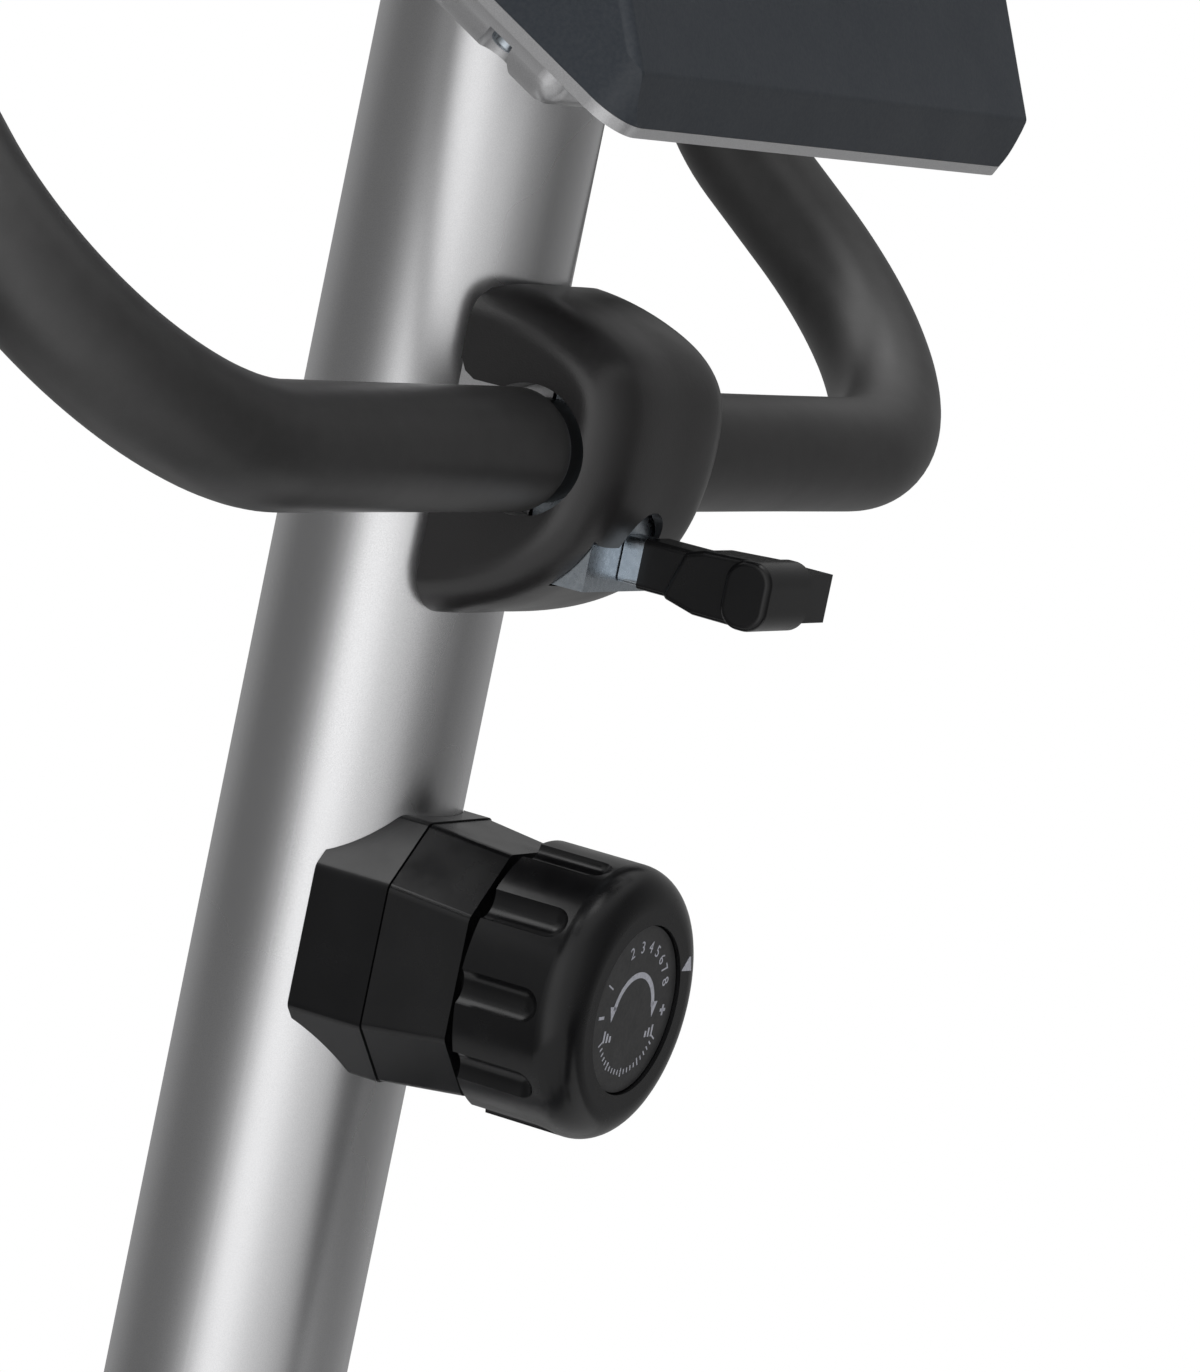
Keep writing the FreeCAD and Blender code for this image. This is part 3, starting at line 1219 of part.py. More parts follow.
NODES = {
    "main_beam": main_beam(),
    "front_stabilizer": stabilizer_front(),
    "rear_stabilizer": stabilizer(REAR_FOOT_X),
    "front_end_caps": front_end_caps(),
    "rear_end_caps": rear_end_caps(),
    "transport_wheel_left": transport_wheel(LEFT),
    "transport_wheel_right": transport_wheel(RIGHT),
    "frame_bolts": frame_bolts(),
    "post_socket": post_socket(),
    "handlebar_post": handlebar_post(),
    "post_boot": post_boot(),
    "seat_tube": seat_tube(),
    "seat_bushing": seat_bushing(),
    "bottom_bracket": bottom_bracket(),
    "flywheel_fork": flywheel_fork(),
    "shroud_left": shroud_half(LEFT),
    "shroud_right": shroud_half(RIGHT),
    "cover_screws": Part.Compound(shroud_screws() + console_screws()),
    "drive_pulley": drive_pulley(),
    "crank_left": crank_arm(LEFT),
    "crank_right": crank_arm(RIGHT),
    "pedal_spindles": pedal_spindles(),
    "pedal_left": pedal(LEFT),
    "pedal_right": pedal(RIGHT),
    "pedal_strap_left": pedal_strap(LEFT),
    "pedal_strap_right": pedal_strap(RIGHT),
    "flywheel": flywheel(),
    "drive_belt": drive_belt(),
    "magnet_bracket": magnet_bracket(),
    "magnets": magnets(),
    "bar_cradle": bar_cradle(),
    "bar_clamp": bar_clamp(),
    "clamp_cover": clamp_cover(),
    "clamp_screw": clamp_screw(),
    "clamp_knob": clamp_knob(),
    "tension_housing_rear": tension_housing_rear(),
    "tension_housing_front": tension_housing_front(),
    "tension_dial": tension_dial(),
    "tension_knob": tension_knob(),
    "knob_pointer": knob_pointer(),
    "handlebar_tube": handlebar_tube(),
    "foam_grip_left": foam_grip(LEFT),
    "foam_grip_right": foam_grip(RIGHT),
    "grip_end_plugs": grip_end_plugs(),
    "pulse_sensors": pulse_sensors(),
    "console_front": console_front(),
    "console_lens": console_lens(),
    "console_display": console_display(),
    "console_shell": console_shell(),
    "console_bracket": console_bracket(),
    "button_left": console_button(1),
    "button_middle": console_button(0),
    "button_right": console_button(-1),
    "seat_post": seat_post(),
    "seat_pin": seat_pin(),
    "seat_rail": seat_rail(),
    "saddle_carriage": saddle_carriage(),
    "saddle_knob": saddle_knob(),
    "saddle_pan": saddle_pan(),
    "saddle_cushion": saddle_cushion(),
}

os.makedirs("parts", exist_ok=True)
for name, shape in NODES.items():
    shape.exportStep("parts/" + name + ".step")
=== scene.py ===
"""Looks of the upright exercise bike: materials, soft pieces, printed marks, light and camera."""
import json
import math
import bmesh
import bpy
from mathutils import Matrix, Vector
from mathutils.bvhtree import BVHTree


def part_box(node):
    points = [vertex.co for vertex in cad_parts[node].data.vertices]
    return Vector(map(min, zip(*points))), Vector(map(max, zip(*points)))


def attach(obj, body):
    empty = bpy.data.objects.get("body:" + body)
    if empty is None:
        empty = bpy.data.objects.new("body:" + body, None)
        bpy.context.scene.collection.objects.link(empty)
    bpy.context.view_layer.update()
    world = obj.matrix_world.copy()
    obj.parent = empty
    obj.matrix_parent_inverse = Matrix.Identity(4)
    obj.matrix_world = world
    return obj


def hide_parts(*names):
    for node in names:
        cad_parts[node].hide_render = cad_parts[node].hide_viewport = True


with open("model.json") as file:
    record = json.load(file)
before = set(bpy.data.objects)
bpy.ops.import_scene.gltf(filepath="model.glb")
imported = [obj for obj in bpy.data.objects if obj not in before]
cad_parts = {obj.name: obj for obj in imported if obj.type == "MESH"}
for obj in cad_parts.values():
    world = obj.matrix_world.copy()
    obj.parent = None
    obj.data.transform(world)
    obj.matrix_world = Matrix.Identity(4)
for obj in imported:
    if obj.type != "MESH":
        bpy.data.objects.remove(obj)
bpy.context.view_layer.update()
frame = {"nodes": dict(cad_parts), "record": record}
NODES = frame["nodes"]
SLOT_OF = {part["node"]: part["material_slot"] for part in frame["record"]["subparts"]}

# Places shared with the CAD, in metres
POST_LEAN = math.radians(13.2)
BAR = Vector((0.095, 0, 1.085))
BAR_TO_POST = 0.0468
FOAM_RADIUS = 0.015
COVER_HALF_WIDTH = 0.0325
BAR_STRAIGHT = 0.149
BAR_BEND = 0.066
GRIP_BEND = 0.062
ARM_RISE = math.radians(53.8)
ARM_INWARD = 0.155
ARM_TOP = 0.235
GRIP_LENGTH = 0.285
GRIP_SLOPE = math.radians(4.0)
TENSION_DROP = 0.1294
DIAL_FACE = 0.0904
CONSOLE_TILT = math.radians(42.3)
CONSOLE_ORIGIN = BAR + Vector((-0.0653, 0, 0.0719))
CONSOLE_NOSE = (4.4, 12.0)  # millimetres, along and out of the rim plane
CHIN_ANGLE = math.radians(79.3)
CHIN_LENGTH = 50.0
FACE_ANGLE = math.radians(46.0)
DISPLAY_START = 36.0
DISPLAY_DEPTH = 2.36
CRANK = Vector((-0.070, 0, 0.290))
SEAT_LEAN = math.radians(15.0)
SEAT_POST_RADIUS = 0.01903  # with a hair's room for the print
PIN_HEIGHT = 0.262
HOLE_PITCH = 25.0

# Camera of the reference view
VIEW_TURN = math.radians(27.46)
VIEW_TILT = math.radians(1.52)
VIEW_DISTANCE = 1.661
VIEW_LENS = 178.9
AIM_RIGHT = 0.0034
AIM_DOWN = 0.0574

POST_UP = Vector((-math.sin(POST_LEAN), 0, math.cos(POST_LEAN)))
POST_OUT = Vector((-math.cos(POST_LEAN), 0, -math.sin(POST_LEAN)))
POST_POINT = BAR - POST_OUT * BAR_TO_POST
VIEW_HEADING = Vector((math.sin(VIEW_TURN) * math.cos(VIEW_TILT),
                       -math.cos(VIEW_TURN) * math.cos(VIEW_TILT), -math.sin(VIEW_TILT)))
VIEW_RIGHT = Vector((-math.cos(VIEW_TURN), -math.sin(VIEW_TURN), 0))


# ---- Node helpers ----

class Finish:
    """A Principled material and short calls that add texture nodes to it."""

    def __init__(self, name, metallic=0.0, roughness=0.5, **constants):
        self.material = bpy.data.materials.new(name)
        self.material.use_nodes = True
        self.nodes = self.material.node_tree.nodes
        self.links = self.material.node_tree.links
        self.shader = self.nodes["Principled BSDF"]
        self.shader.inputs["Metallic"].default_value = metallic
        self.shader.inputs["Roughness"].default_value = roughness
        for socket, value in constants.items():
            self.shader.inputs[socket.replace("_", " ")].default_value = value
        self.height = None

    def place(self, scale=(1, 1, 1), turn=(0, 0, 0)):
        """Object coordinates, stretched and turned."""
        where = self.nodes.new("ShaderNodeTexCoord")
        mapping = self.nodes.new("ShaderNodeMapping")
        mapping.inputs["Scale"].default_value = scale
        mapping.inputs["Rotation"].default_value = turn
        self.links.new(where.outputs["Object"], mapping.inputs["Vector"])
        return mapping.outputs["Vector"]

    def noise(self, scale, detail=4.0, rough=0.55, at=None):
        """Soft cloudy values between 0 and 1."""
        node = self.nodes.new("ShaderNodeTexNoise")
        node.inputs["Scale"].default_value = scale
        node.inputs["Detail"].default_value = detail
        node.inputs["Roughness"].default_value = rough
        self.links.new(at or self.place(), node.inputs["Vector"])
        return node.outputs["Fac"]

    def cells(self, scale, feature="F1", at=None):
        """Distances between scattered cells."""
        node = self.nodes.new("ShaderNodeTexVoronoi")
        node.feature = feature
        node.inputs["Scale"].default_value = scale
        self.links.new(at or self.place(), node.inputs["Vector"])
        return node.outputs["Distance"]

    def ramp(self, value, stops):
        """Colours or greys along a value."""
        node = self.nodes.new("ShaderNodeValToRGB")
        ramp = node.color_ramp
        while len(ramp.elements) < len(stops):
            ramp.elements.new(0.5)
        for element, (position, colour) in zip(ramp.elements, stops):
            element.position = position
            element.color = colour if len(colour) == 4 else (*colour, 1)
        self.links.new(value, node.inputs["Fac"])
        return node.outputs["Color"]

    def grey(self, value, low, high, start=0.3, end=0.7):
        """A value spread between two greys."""
        return self.ramp(value, [(start, (low, low, low)), (end, (high, high, high))])

    def colour(self, value, low, high, start=0.3, end=0.7):
        """Base colour between two tones."""
        self.links.new(self.ramp(value, [(start, low), (end, high)]), self.shader.inputs["Base Color"])

    def gloss(self, value, low, high, start=0.3, end=0.7):
        """Roughness between two levels."""
        self.links.new(self.grey(value, low, high, start, end), self.shader.inputs["Roughness"])

    def bump(self, value, strength, distance):
        """Adds a layer of relief."""
        node = self.nodes.new("ShaderNodeBump")
        node.inputs["Strength"].default_value = strength
        node.inputs["Distance"].default_value = distance
        self.links.new(value, node.inputs["Height"])
        if self.height is not None:
            self.links.new(self.height, node.inputs["Normal"])
        self.height = node.outputs["Normal"]
        self.links.new(self.height, self.shader.inputs["Normal"])


# ---- Materials ----

def silver_paint():
    """Satin metallic lacquer with fine flake."""
    finish = Finish("silver_paint", metallic=1.0, roughness=0.3)
    flake = finish.noise(5200, 2)
    finish.colour(flake, (0.68, 0.68, 0.69), (0.82, 0.82, 0.83))
    finish.gloss(finish.noise(9, 3), 0.25, 0.31)
    finish.bump(flake, 0.05, 0.00004)
    finish.bump(finish.noise(420, 2), 0.02, 0.0002)
    return finish.material


def black_paint():
    """Fine powder coat with a light orange peel."""
    finish = Finish("black_paint", roughness=0.35, Coat_Weight=0.3, Coat_Roughness=0.25)
    finish.colour(finish.noise(30, 3), (0.010, 0.010, 0.011), (0.018, 0.018, 0.019))
    finish.gloss(finish.noise(60, 4), 0.28, 0.42)
    finish.bump(finish.noise(700, 2), 0.12, 0.0002)
    return finish.material


def black_plastic():
    """Black moulding with a fine spark-eroded grain."""
    finish = Finish("black_plastic", roughness=0.33, Specular_IOR_Level=0.68)
    finish.colour(finish.noise(14, 4), (0.0140, 0.0131, 0.0136), (0.0215, 0.0204, 0.0210))
    finish.gloss(finish.noise(45, 5), 0.28, 0.38)
    finish.bump(finish.cells(2400), 0.16, 0.00012)
    finish.bump(finish.noise(120, 3), 0.04, 0.0004)
    return finish.material


def gloss_black():
    """Polished black moulding with faint flow and handling marks."""
    finish = Finish("gloss_black", roughness=0.2, Specular_IOR_Level=0.38)
    finish.colour(finish.noise(18, 3), (0.0045, 0.0045, 0.005), (0.008, 0.008, 0.0088))
    finish.gloss(finish.noise(70, 6), 0.17, 0.30)
    finish.bump(finish.noise(260, 3), 0.05, 0.0003)
    return finish.material


def slate_plastic():
    """Dark slate moulding, softly speckled."""
    finish = Finish("slate_plastic", roughness=0.42, Specular_IOR_Level=0.35)
    finish.colour(finish.noise(900, 2), (0.039, 0.046, 0.057), (0.051, 0.058, 0.068))
    finish.gloss(finish.noise(40, 4), 0.36, 0.48)
    finish.bump(finish.cells(1900), 0.12, 0.00012)
    return finish.material


def silver_plastic():
    """Silver-painted moulding."""
    finish = Finish("silver_plastic", metallic=0.55, roughness=0.35, Coat_Weight=0.4, Coat_Roughness=0.12)
    finish.colour(finish.noise(3600, 2), (0.50, 0.50, 0.51), (0.62, 0.62, 0.63))
    finish.gloss(finish.noise(30, 3), 0.30, 0.40)
    finish.bump(finish.noise(500, 2), 0.05, 0.0002)
    return finish.material


def foam():
    """Black closed-cell foam: a smooth moulded skin with fine pores."""
    finish = Finish("foam", roughness=0.41, Specular_IOR_Level=0.72)
    finish.colour(finish.noise(160, 6), (0.0215, 0.0210, 0.0212), (0.0290, 0.0284, 0.0287))
    finish.gloss(finish.noise(25, 4), 0.37, 0.45)
    finish.bump(finish.cells(1900), 0.10, 0.00010)
    finish.bump(finish.noise(90, 3), 0.02, 0.0003)
    return finish.material


def zinc():
    """Bright zinc plate with a bluish cast."""
    finish = Finish("zinc", metallic=1.0, roughness=0.28)
    finish.colour(finish.noise(500, 5), (0.46, 0.51, 0.56), (0.58, 0.63, 0.68))
    finish.gloss(finish.noise(900, 3), 0.24, 0.34)
    finish.bump(finish.noise(1300, 3), 0.04, 0.0001)
    return finish.material


def steel():
    """Plain turned steel with ring marks."""
    finish = Finish("steel", metallic=1.0, roughness=0.35)
    finish.colour(finish.noise(200, 4), (0.36, 0.36, 0.37), (0.50, 0.50, 0.51))
    finish.gloss(finish.noise(1000, 3, at=finish.place((1, 0.05, 1))), 0.25, 0.45)
    finish.bump(finish.noise(1600, 2, at=finish.place((1, 0.05, 1))), 0.12, 0.0001)
    return finish.material


def stainless():
    """Brushed stainless steel, the brushing along the tube."""
    finish = Finish("stainless", metallic=1.0, roughness=0.25)
    grain = finish.noise(900, 4, at=finish.place((1, 1, 0.02), (0, -SEAT_LEAN, 0)))
    finish.colour(grain, (0.64, 0.64, 0.65), (0.71, 0.71, 0.72))
    finish.gloss(grain, 0.21, 0.28)
    finish.bump(grain, 0.04, 0.0001)
    return finish.material


def cast_iron():
    """Machined cast iron with a light oil film."""
    finish = Finish("cast_iron", metallic=0.9, roughness=0.4)
    finish.colour(finish.noise(350, 6), (0.10, 0.10, 0.105), (0.22, 0.22, 0.225))
    finish.gloss(finish.noise(90, 5), 0.30, 0.52)
    finish.bump(finish.noise(700, 5), 0.2, 0.0003)
    return finish.material


def magnet():
    """Nickel-plated magnet block."""
    finish = Finish("magnet", metallic=1.0, roughness=0.22)
    finish.colour(finish.noise(400, 3), (0.38, 0.37, 0.36), (0.50, 0.49, 0.48))
    finish.gloss(finish.noise(600, 3), 0.15, 0.30)
    return finish.material


def belt():
    """Rubber belt with a woven back."""
    finish = Finish("belt", roughness=0.7)
    finish.colour(finish.noise(300, 4), (0.012, 0.012, 0.012), (0.024, 0.024, 0.024))
    finish.bump(finish.cells(1100), 0.4, 0.0003)
    return finish.material


def window():
    """Clear window of the display, faintly tinted."""
    finish = Finish("window", roughness=0.06, Transmission_Weight=0.95, IOR=1.45)
    finish.colour(finish.noise(6, 2), (0.86, 0.90, 0.89), (0.92, 0.95, 0.94))
    finish.gloss(finish.noise(35, 5), 0.03, 0.10)
    return finish.material


def lcd():
    """Grey-green liquid crystal with a faint pixel mottling."""
    finish = Finish("lcd", roughness=0.3)
    finish.colour(finish.noise(12, 3), (0.30, 0.34, 0.27), (0.37, 0.41, 0.33))
    finish.gloss(finish.noise(400, 2), 0.22, 0.36)
    return finish.material


def button():
    """Soft-touch grey key."""
    finish = Finish("button", roughness=0.55)
    finish.colour(finish.noise(260, 4), (0.30, 0.31, 0.33), (0.38, 0.39, 0.41))
    finish.gloss(finish.noise(500, 3), 0.48, 0.62)
    finish.bump(finish.cells(2600), 0.15, 0.0001)
    return finish.material


def dial_print():
    """Dark grey dial disc, finely turned."""
    finish = Finish("dial_print", roughness=0.42)
    finish.colour(finish.noise(200, 4), (0.038, 0.038, 0.039), (0.050, 0.050, 0.051))
    finish.gloss(finish.noise(800, 3), 0.36, 0.50)
    finish.bump(finish.cells(3000), 0.12, 0.00008)
    return finish.material


def pointer():
    """Pale printed or moulded-in mark."""
    finish = Finish("pointer", roughness=0.5)
    finish.colour(finish.noise(900, 4), (0.52, 0.53, 0.60), (0.70, 0.71, 0.78))
    finish.gloss(finish.noise(1500, 2), 0.42, 0.58)
    return finish.material


def vinyl():
    """Grained saddle vinyl: fine pebbles, soft creases and a little sheen on the high spots."""
    finish = Finish("vinyl", roughness=0.45, Sheen_Weight=0.1)
    finish.colour(finish.noise(40, 5), (0.011, 0.011, 0.012), (0.021, 0.021, 0.022))
    finish.gloss(finish.noise(85, 5), 0.36, 0.55)
    finish.bump(finish.cells(650), 0.45, 0.0004)
    finish.bump(finish.noise(28, 6, 0.65), 0.25, 0.0012)
    return finish.material


def strap_rubber():
    """Moulded strap rubber with a dull bloom."""
    finish = Finish("strap_rubber", roughness=0.6)
    finish.colour(finish.noise(70, 5), (0.012, 0.012, 0.012), (0.028, 0.028, 0.028))
    finish.gloss(finish.noise(50, 5), 0.5, 0.72)
    finish.bump(finish.noise(900, 3), 0.18, 0.0002)
    return finish.material


def wheel():
    """Hard moulded wheel, slightly scuffed."""
    finish = Finish("wheel", roughness=0.45)
    finish.colour(finish.noise(60, 6), (0.018, 0.018, 0.019), (0.045, 0.045, 0.046))
    finish.gloss(finish.noise(130, 5), 0.38, 0.6)
    finish.bump(finish.noise(500, 4), 0.15, 0.0003)
    return finish.material


MATERIALS = {make.__name__: make() for make in (
    silver_paint, black_paint, black_plastic, gloss_black, slate_plastic, silver_plastic, foam, zinc,
    steel, stainless, cast_iron, magnet, belt, window, lcd, button, dial_print, pointer, vinyl,
    strap_rubber, wheel)}


def dress_nodes():
    """Gives every CAD node its material."""
    for name, node in NODES.items():
        if not node.material_slots:
            node.data.materials.append(None)
        for place in node.material_slots:
            place.material = MATERIALS[SLOT_OF[name]]


# ---- Mesh helpers ----

def add_object(name, mesh, slot, body, smooth=True):
    """A finished mesh as a piece of the bike."""
    piece = bpy.data.objects.new(name, mesh)
    bpy.context.scene.collection.objects.link(piece)
    mesh.materials.clear()
    mesh.materials.append(MATERIALS[slot])
    for polygon in mesh.polygons:
        polygon.use_smooth = smooth
    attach(piece, body)
    return piece


def mesh_of(name, vertices, faces):
    """A mesh from points and faces."""
    mesh = bpy.data.meshes.new(name)
    mesh.from_pydata([tuple(v) for v in vertices], [], faces)
    mesh.update()
    return mesh


def tube_mesh(name, centres, radii, sides=48):
    """A tube along centre points with one radius at each, closed at both ends."""
    vertices = []
    faces = []
    side = None
    for index, centre in enumerate(centres):
        before = centres[max(index - 1, 0)]
        after = centres[min(index + 1, len(centres) - 1)]
        along = (after - before).normalized()
        if side is None:
            side = along.orthogonal().normalized()
        side = (side - along * side.dot(along)).normalized()
        other = along.cross(side)
        for step in range(sides):
            angle = 2 * math.pi * step / sides
            vertices.append(centre + (side * math.cos(angle) + other * math.sin(angle)) * radii[index])
    for ring in range(len(centres) - 1):
        for step in range(sides):
            here = ring * sides + step
            beside = ring * sides + (step + 1) % sides
            faces.append((here, beside, beside + sides, here + sides))
    faces.append(tuple(reversed(range(sides))))
    last = (len(centres) - 1) * sides
    faces.append(tuple(range(last, last + sides)))
    return mesh_of(name, vertices, faces)


def rounded_route(corners, radii, spacing):
    """Evenly spaced points along straight runs with tangent arcs at the corners."""
    points = [corners[0]]
    for before, corner, after, radius in zip(corners, corners[1:], corners[2:], radii):
        into = (corner - before).normalized()
        out = (after - corner).normalized()
        turn = into.angle(out)
        reach = radius * math.tan(turn / 2)
        start = corner - into * reach
        centre = corner + (out - into).normalized() * (radius / math.cos(turn / 2))
        axis = into.cross(out).normalized()
        fill_run(points, start, spacing)
        steps = max(2, round(radius * turn / spacing))
        for step in range(1, steps + 1):
            points.append(centre + Matrix.Rotation(turn * step / steps, 3, axis) @ (start - centre))
    fill_run(points, corners[-1], spacing)
    return points


def fill_run(points, stop, spacing):
    """Adds evenly spaced points from the last one to a stop."""
    start = points[-1]
    steps = max(1, round((stop - start).length / spacing))
    for step in range(1, steps + 1):
        points.append(start.lerp(stop, step / steps))


# ---- Foam sleeves ----

def bar_corners(side):
    """Corners of one half of the bar, from the clamp to the grip's end."""
    arm = Vector((math.cos(ARM_RISE), -ARM_INWARD, math.sin(ARM_RISE))).normalized()
    half_turn = Vector((0, 1, 0)).angle(arm) / 2
    corner = Vector((BAR.x, BAR_STRAIGHT + BAR_BEND * math.tan(half_turn), BAR.z))
    top = corner + arm * ARM_TOP
    end = top + Vector((-math.cos(GRIP_SLOPE), 0.10, -math.sin(GRIP_SLOPE))) * GRIP_LENGTH
    start = Vector((BAR.x, COVER_HALF_WIDTH + 0.0015, BAR.z))
    return [Vector((p.x, side * p.y, p.z)) for p in (start, corner, top, end)]


SLEEVE_SPACING = 0.003
SLEEVE_ROLL = 0.0012
SLEEVE_RIPPLE = 0.00003


def foam_sleeve(side, name):
    """A foam sleeve with rolled ends and a barely visible ripple along it."""
    centres = rounded_route(bar_corners(side), [BAR_BEND, GRIP_BEND], SLEEVE_SPACING)
    radii = []
    count = len(centres)
    for index in range(count):
        rolled = SLEEVE_ROLL if index in (0, count - 1) else 0.0
        radii.append(FOAM_RADIUS - rolled + SLEEVE_RIPPLE * math.sin(index * 0.21))
    piece = add_object(name, tube_mesh(name, centres, radii, 56), "foam", "handlebar")
    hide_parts(name)


# ---- Saddle ----

SADDLE_PLAN = [(1.0, 0.0), (0.93, 0.2), (0.55, 0.32), (0.12, 0.46), (-0.35, 0.92), (-0.68, 1.0),
               (-0.94, 0.70), (-1.0, 0.0)]
# Rings of the cushion: share of the way from its spine to its rim, and height above its base
SADDLE_UNDERSIDE = [(0.0, 0.0005), (0.5, 0.0005), (0.95, 0.0005), (0.975, 0.002),
                    (0.992, 0.006), (1.0, 0.0125)]
SADDLE_TOP = (0.985, 0.95, 0.9, 0.82, 0.72, 0.6, 0.46, 0.32, 0.2, 0.1, 0.0)
SADDLE_SEAM_HEIGHT = 0.0165
SIM_FRAMES = 20
SIM_PRESSURE = 4
SIM_GROWTH = 0.003
PIPING_RADIUS = 0.0019
STITCH_COUNT = 38
STITCH_OFFSET = 0.017
STITCH_HALF_LENGTH = 0.0014
THREAD_RADIUS = 0.00035


def smooth_loop(points, per_span):
    """A closed smooth curve through points, as evenly counted samples of each span."""
    result = []
    count = len(points)
    for index in range(count):
        a, b, c, d = (points[(index + k) % count] for k in (-1, 0, 1, 2))
        for step in range(per_span):
            t = step / per_span
            result.append(0.5 * (2 * b + (c - a) * t + (2 * a - 5 * b + 4 * c - d) * t ** 2
                                 + (3 * b - a - 3 * c + d) * t ** 3))
    return result


def saddle_rim():
    """Plan of the cushion at its widest, in the bike's frame, from the nose round its left side."""
    low, high = (Vector(corner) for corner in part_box("saddle_cushion"))
    middle = (low + high) / 2
    half = (high - low) / 2
    left = [Vector((middle.x + x * (half.x - 0.003), y * (half.y - 0.006), 0)) for x, y in SADDLE_PLAN]
    right = [Vector((p.x, -p.y, 0)) for p in reversed(left[1:-1])]
    return smooth_loop(left + right, 9)


def saddle_crown(point, inward, low, high):
    """Height of the cushion's top: domed, hollow along the middle, fuller under each side behind."""
    along = (point.x - low.x) / (high.x - low.x)
    dome = (1 - inward ** 2.7) ** (1 / 2.2)
    full = 0.80 + 0.12 * math.cos(math.pi * along) + 0.05 * math.exp(-((along - 0.93) / 0.12) ** 2)
    groove_length = 1 / (1 + math.exp((along - 0.72) * 26)) / (1 + math.exp((0.10 - along) * 40))
    groove = 0.0085 * math.exp(-(point.y / 0.012) ** 2) * groove_length
    lobe = 0.0045 * math.exp(-((abs(point.y) - 0.058) / 0.032) ** 2 - ((along - 0.24) / 0.2) ** 2)
    base = low.z + 0.016
    return base + (high.z - base) * full * dome - groove * dome + lobe * dome


def saddle_mesh():
    """The cushion's closed surface: a flat base, rounded sides and a crowned top."""
    low, high = (Vector(corner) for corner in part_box("saddle_cushion"))
    rim = saddle_rim()
    count = len(rim)
    spine = [Vector((max(min(p.x, high.x - 0.045), low.x + 0.062), 0, 0)) for p in rim]
    vertices = []
    for reach, height in SADDLE_UNDERSIDE:
        vertices += [Vector((*spine[k].lerp(rim[k], reach).xy, low.z + height)) for k in range(count)]
    for reach in SADDLE_TOP:
        for k in range(count):
            place = spine[k].lerp(rim[k], reach)
            vertices.append(Vector((place.x, place.y, saddle_crown(place, reach, low, high))))
    rings = len(SADDLE_UNDERSIDE) + len(SADDLE_TOP)
    faces = []
    for ring in range(rings - 1):
        for k in range(count):
            here = ring * count + k
            beside = ring * count + (k + 1) % count
            faces.append((here, beside, beside + count, here + count))
    mesh = mesh_of("saddle_cushion_cover", vertices, faces)
    close_seams(mesh, 0.0004)
    return mesh


def close_seams(mesh, distance):
    """Merges points that meet and makes the faces agree on which way is out."""
    shell = bmesh.new()
    shell.from_mesh(mesh)
    bmesh.ops.remove_doubles(shell, verts=shell.verts, dist=distance)
    bmesh.ops.dissolve_degenerate(shell, edges=shell.edges, dist=distance / 4)
    bmesh.ops.recalc_face_normals(shell, faces=shell.faces)
    shell.to_mesh(mesh)
    shell.free()


def puffed(mesh, growth):
    """The cushion's cover after a short cloth simulation with air pressure inside it."""
    body = bpy.data.objects.new("saddle_sim", mesh)
    bpy.context.scene.collection.objects.link(body)
    remesh = body.modifiers.new("remesh", "REMESH")
    remesh.mode = "VOXEL"
    remesh.voxel_size = 0.005
    remesh.use_smooth_shade = True
    base = applied_mesh(body)
    body.modifiers.clear()
    body.data = base
    low_z = min(v.co.z for v in base.vertices)
    pinned = body.vertex_groups.new(name="base")
    pinned.add([v.index for v in base.vertices if v.co.z < low_z + 0.006], 1.0, "REPLACE")
    start = [v.co.copy() for v in base.vertices]
    cloth = body.modifiers.new("cloth", "CLOTH")
    cloth.settings.use_pressure = True
    cloth.settings.uniform_pressure_force = SIM_PRESSURE
    cloth.settings.quality = 6
    cloth.settings.mass = 0.3
    cloth.settings.tension_stiffness = 25
    cloth.settings.compression_stiffness = 25
    cloth.settings.bending_stiffness = 4
    cloth.settings.vertex_group_mass = "base"
    cloth.settings.effector_weights.gravity = 0
    cloth.point_cache.frame_start = 1
    cloth.point_cache.frame_end = SIM_FRAMES
    for moment in range(1, SIM_FRAMES + 1):
        bpy.context.scene.frame_set(moment)
    result = applied_mesh(body)
    bpy.context.scene.frame_set(1)
    for vertex, origin in zip(result.vertices, start):
        step = vertex.co - origin
        if step.length > growth:
            vertex.co = origin + step.normalized() * growth
    bpy.data.objects.remove(body)
    return result


def applied_mesh(piece):
    """The mesh of a piece with its modifiers applied."""
    graph = bpy.context.evaluated_depsgraph_get()
    graph.update()
    return bpy.data.meshes.new_from_object(piece.evaluated_get(graph), depsgraph=graph)


def saddle_cushion():
    """The saddle's cushion, its piping and two rows of stitches beside the middle channel."""
    mesh = saddle_mesh()
    mesh = puffed(mesh, SIM_GROWTH)
    piece = add_object("saddle_cushion_cover", mesh, "vinyl", "saddle")
    smooth = piece.modifiers.new("smooth", "SUBSURF")
    smooth.levels = 1
    smooth.render_levels = 1
    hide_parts("saddle_cushion")
    surface = BVHTree.FromObject(piece, bpy.context.evaluated_depsgraph_get())
    low, high = (Vector(corner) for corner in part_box("saddle_cushion"))
    saddle_piping(surface, low)
    saddle_stitches(surface, low, high)


def saddle_piping(surface, low):
    """A round welt along the seam between the top and the side."""
    route = []
    rim = saddle_rim()
    middle = sum(rim, Vector()) / len(rim)
    for point in rim:
        outside = middle.lerp(point, 1.25)
        outside.z = low.z + SADDLE_SEAM_HEIGHT
        inside = Vector((*middle.lerp(point, 0.4).xy, outside.z))
        hit = surface.ray_cast(outside, (inside - outside).normalized())[0]
        route.append(hit or outside)
    route.append(route[0])
    radii = [PIPING_RADIUS] * len(route)
    piece = add_object("saddle_piping", tube_mesh("saddle_piping", route, radii, 10), "vinyl", "saddle")


